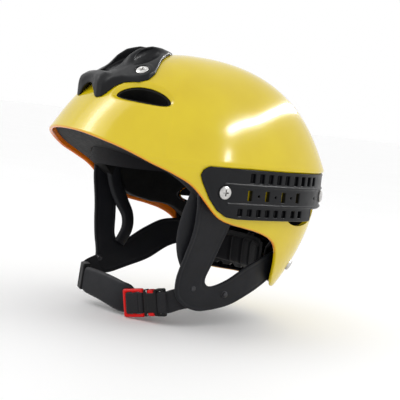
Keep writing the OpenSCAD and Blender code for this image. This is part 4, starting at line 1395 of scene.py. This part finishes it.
def view_axes(azimuth, elevation):
    a, e = math.radians(azimuth), math.radians(elevation)
    back = Vector((math.sin(a) * math.cos(e), -math.cos(a) * math.cos(e), math.sin(e)))
    right = Vector((math.cos(a), math.sin(a), 0))
    return right, back.cross(right), back


def add_camera():
    right, up, back = view_axes(AZIMUTH, ELEVATION)
    place = tipped(back * DISTANCE + right * AIM_RIGHT + up * AIM_UP)
    data = bpy.data.cameras.new("camera")
    data.lens, data.sensor_width = 90, 36
    camera = bpy.data.objects.new("camera", data)
    columns_ = [tipped(v) for v in (right, up, back)]
    matrix = Matrix([[c[k] for c in columns_] for k in range(3)]).to_4x4()
    matrix.translation = place
    camera.matrix_world = matrix
    bpy.context.scene.collection.objects.link(camera)
    bpy.context.scene.camera = camera
    return place


def area_light(name, place, target, size, power, colour=(1, 1, 1), roll_towards=None):
    """A soft rectangular light at place facing target, both in metres."""
    data = bpy.data.lights.new(name, "AREA")
    data.shape, data.size, data.size_y, data.energy, data.color = "RECTANGLE", *size, power, colour
    light = bpy.data.objects.new(name, data)
    back = (Vector(place) - Vector(target)).normalized()
    side = Vector(roll_towards) if roll_towards else Vector((0, 0, 1)).cross(back)
    side = (side - back * side.dot(back)).normalized()
    up = back.cross(side)
    matrix = Matrix([[side[k], up[k], back[k]] for k in range(3)]).to_4x4()
    matrix.translation = place
    light.matrix_world = matrix
    bpy.context.scene.collection.objects.link(light)
    return light


def surface_frame(point):
    """Nearest point of the shell's dome to a point in mm, and its normal."""
    a = np.linspace(0, 180, 361)
    t = np.linspace(0.05, 1, 200)
    grid = dome_point(a[:, None], t[None, :], 0.0)
    i, j = np.unravel_index(np.argmin(((grid - point) ** 2).sum(-1)), grid.shape[:2])
    da = dome_point(a[i] + 0.5, t[j], 0.0) - dome_point(a[i] - 0.5, t[j], 0.0)
    dt = dome_point(a[i], t[j] + 0.004, 0.0) - dome_point(a[i], t[j] - 0.004, 0.0)
    n = unit(np.cross(dt, da))
    return grid[i, j], n if n[2] > 0 or n @ (grid[i, j] - [0, 0, 20]) > 0 else -n


def mirror_direction(point, eye):
    """Where light must come from to glint at this shell point towards the eye."""
    place, n = surface_frame(np.asarray(point, float))
    view = unit(np.asarray(eye) / MM - place)
    return place, unit(2 * (n @ view) * n - view)


def build_stage(eye):
    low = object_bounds()[0][2]
    floor = new_object("floor", [(x * FLOOR_HALF, y * FLOOR_HALF, 0) for x,
                                 y in ((-1, -1), (1, -1), (1, 1), (-1, 1))],
                       [(0, 1, 2, 3)], smooth=False)
    floor.location.z = low - 0.0006
    mat, tree, shader = material("floor_white", Roughness=0.6, specular_ior_level=0.2)
    link(tree, ramp(tree, noise(tree, coords(tree), 3.0, 2), (0.3, 0.96), (0.8, 0.98)),
         shader.inputs["Base Color"])
    floor.data.materials.append(mat)
    floor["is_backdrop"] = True

    world = bpy.data.worlds.new("studio")
    world.use_nodes = True
    bpy.context.scene.world = world
    world.node_tree.nodes["Background"].inputs["Color"].default_value = (1, 1, 1, 1)
    world.node_tree.nodes["Background"].inputs["Strength"].default_value = 1.0

    # the strip light behind the two glints on the near side
    p1, r1 = mirror_direction((91, -30, 48), eye)
    p2, r2 = mirror_direction((58, 67, 78), eye)
    e1, e2 = p1 + r1 * GLINT_REACH, p2 + r2 * GLINT_REACH
    middle = (e1 + e2) / 2 * MM
    strip = area_light("strip", middle, (p1 + p2) / 2 * MM, (np.linalg.norm(e1 - e2) * MM, 0.03), 6.0,
               roll_towards=tuple(e1 - e2))
    # broad soft light that glows on the brim
    p3, r3 = mirror_direction((35, -130, 49), eye)
    brow = [area_light("brow", (p3 + r3 * BROW_REACH) * MM, p3 * MM, size, 3.2)
            for size in ((0.2, 0.7), (0.42, 0.95), (0.66, 1.2), (0.95, 1.45))]
    p4, r4 = mirror_direction((101, -31, 29), eye)
    spot = area_light("spot", (p4 + r4 * GLINT_REACH) * MM, p4 * MM, (0.05, 0.02), 0.14)
    for light in (strip, spot, *brow):
        light.visible_diffuse = False
    area_light("key", (-0.5, -0.9, 1.6), (0, 0, 0.02), (1.2, 1.2), 3.0)
    rim = area_light("rim", (0.6, 1.6, 1.0), (0, 0, 0), (1.0, 0.8), 2.0)
    rim.visible_glossy = False
    bpy.context.scene.view_settings.view_transform = "Standard"


eye = add_camera()
build_stage(eye)
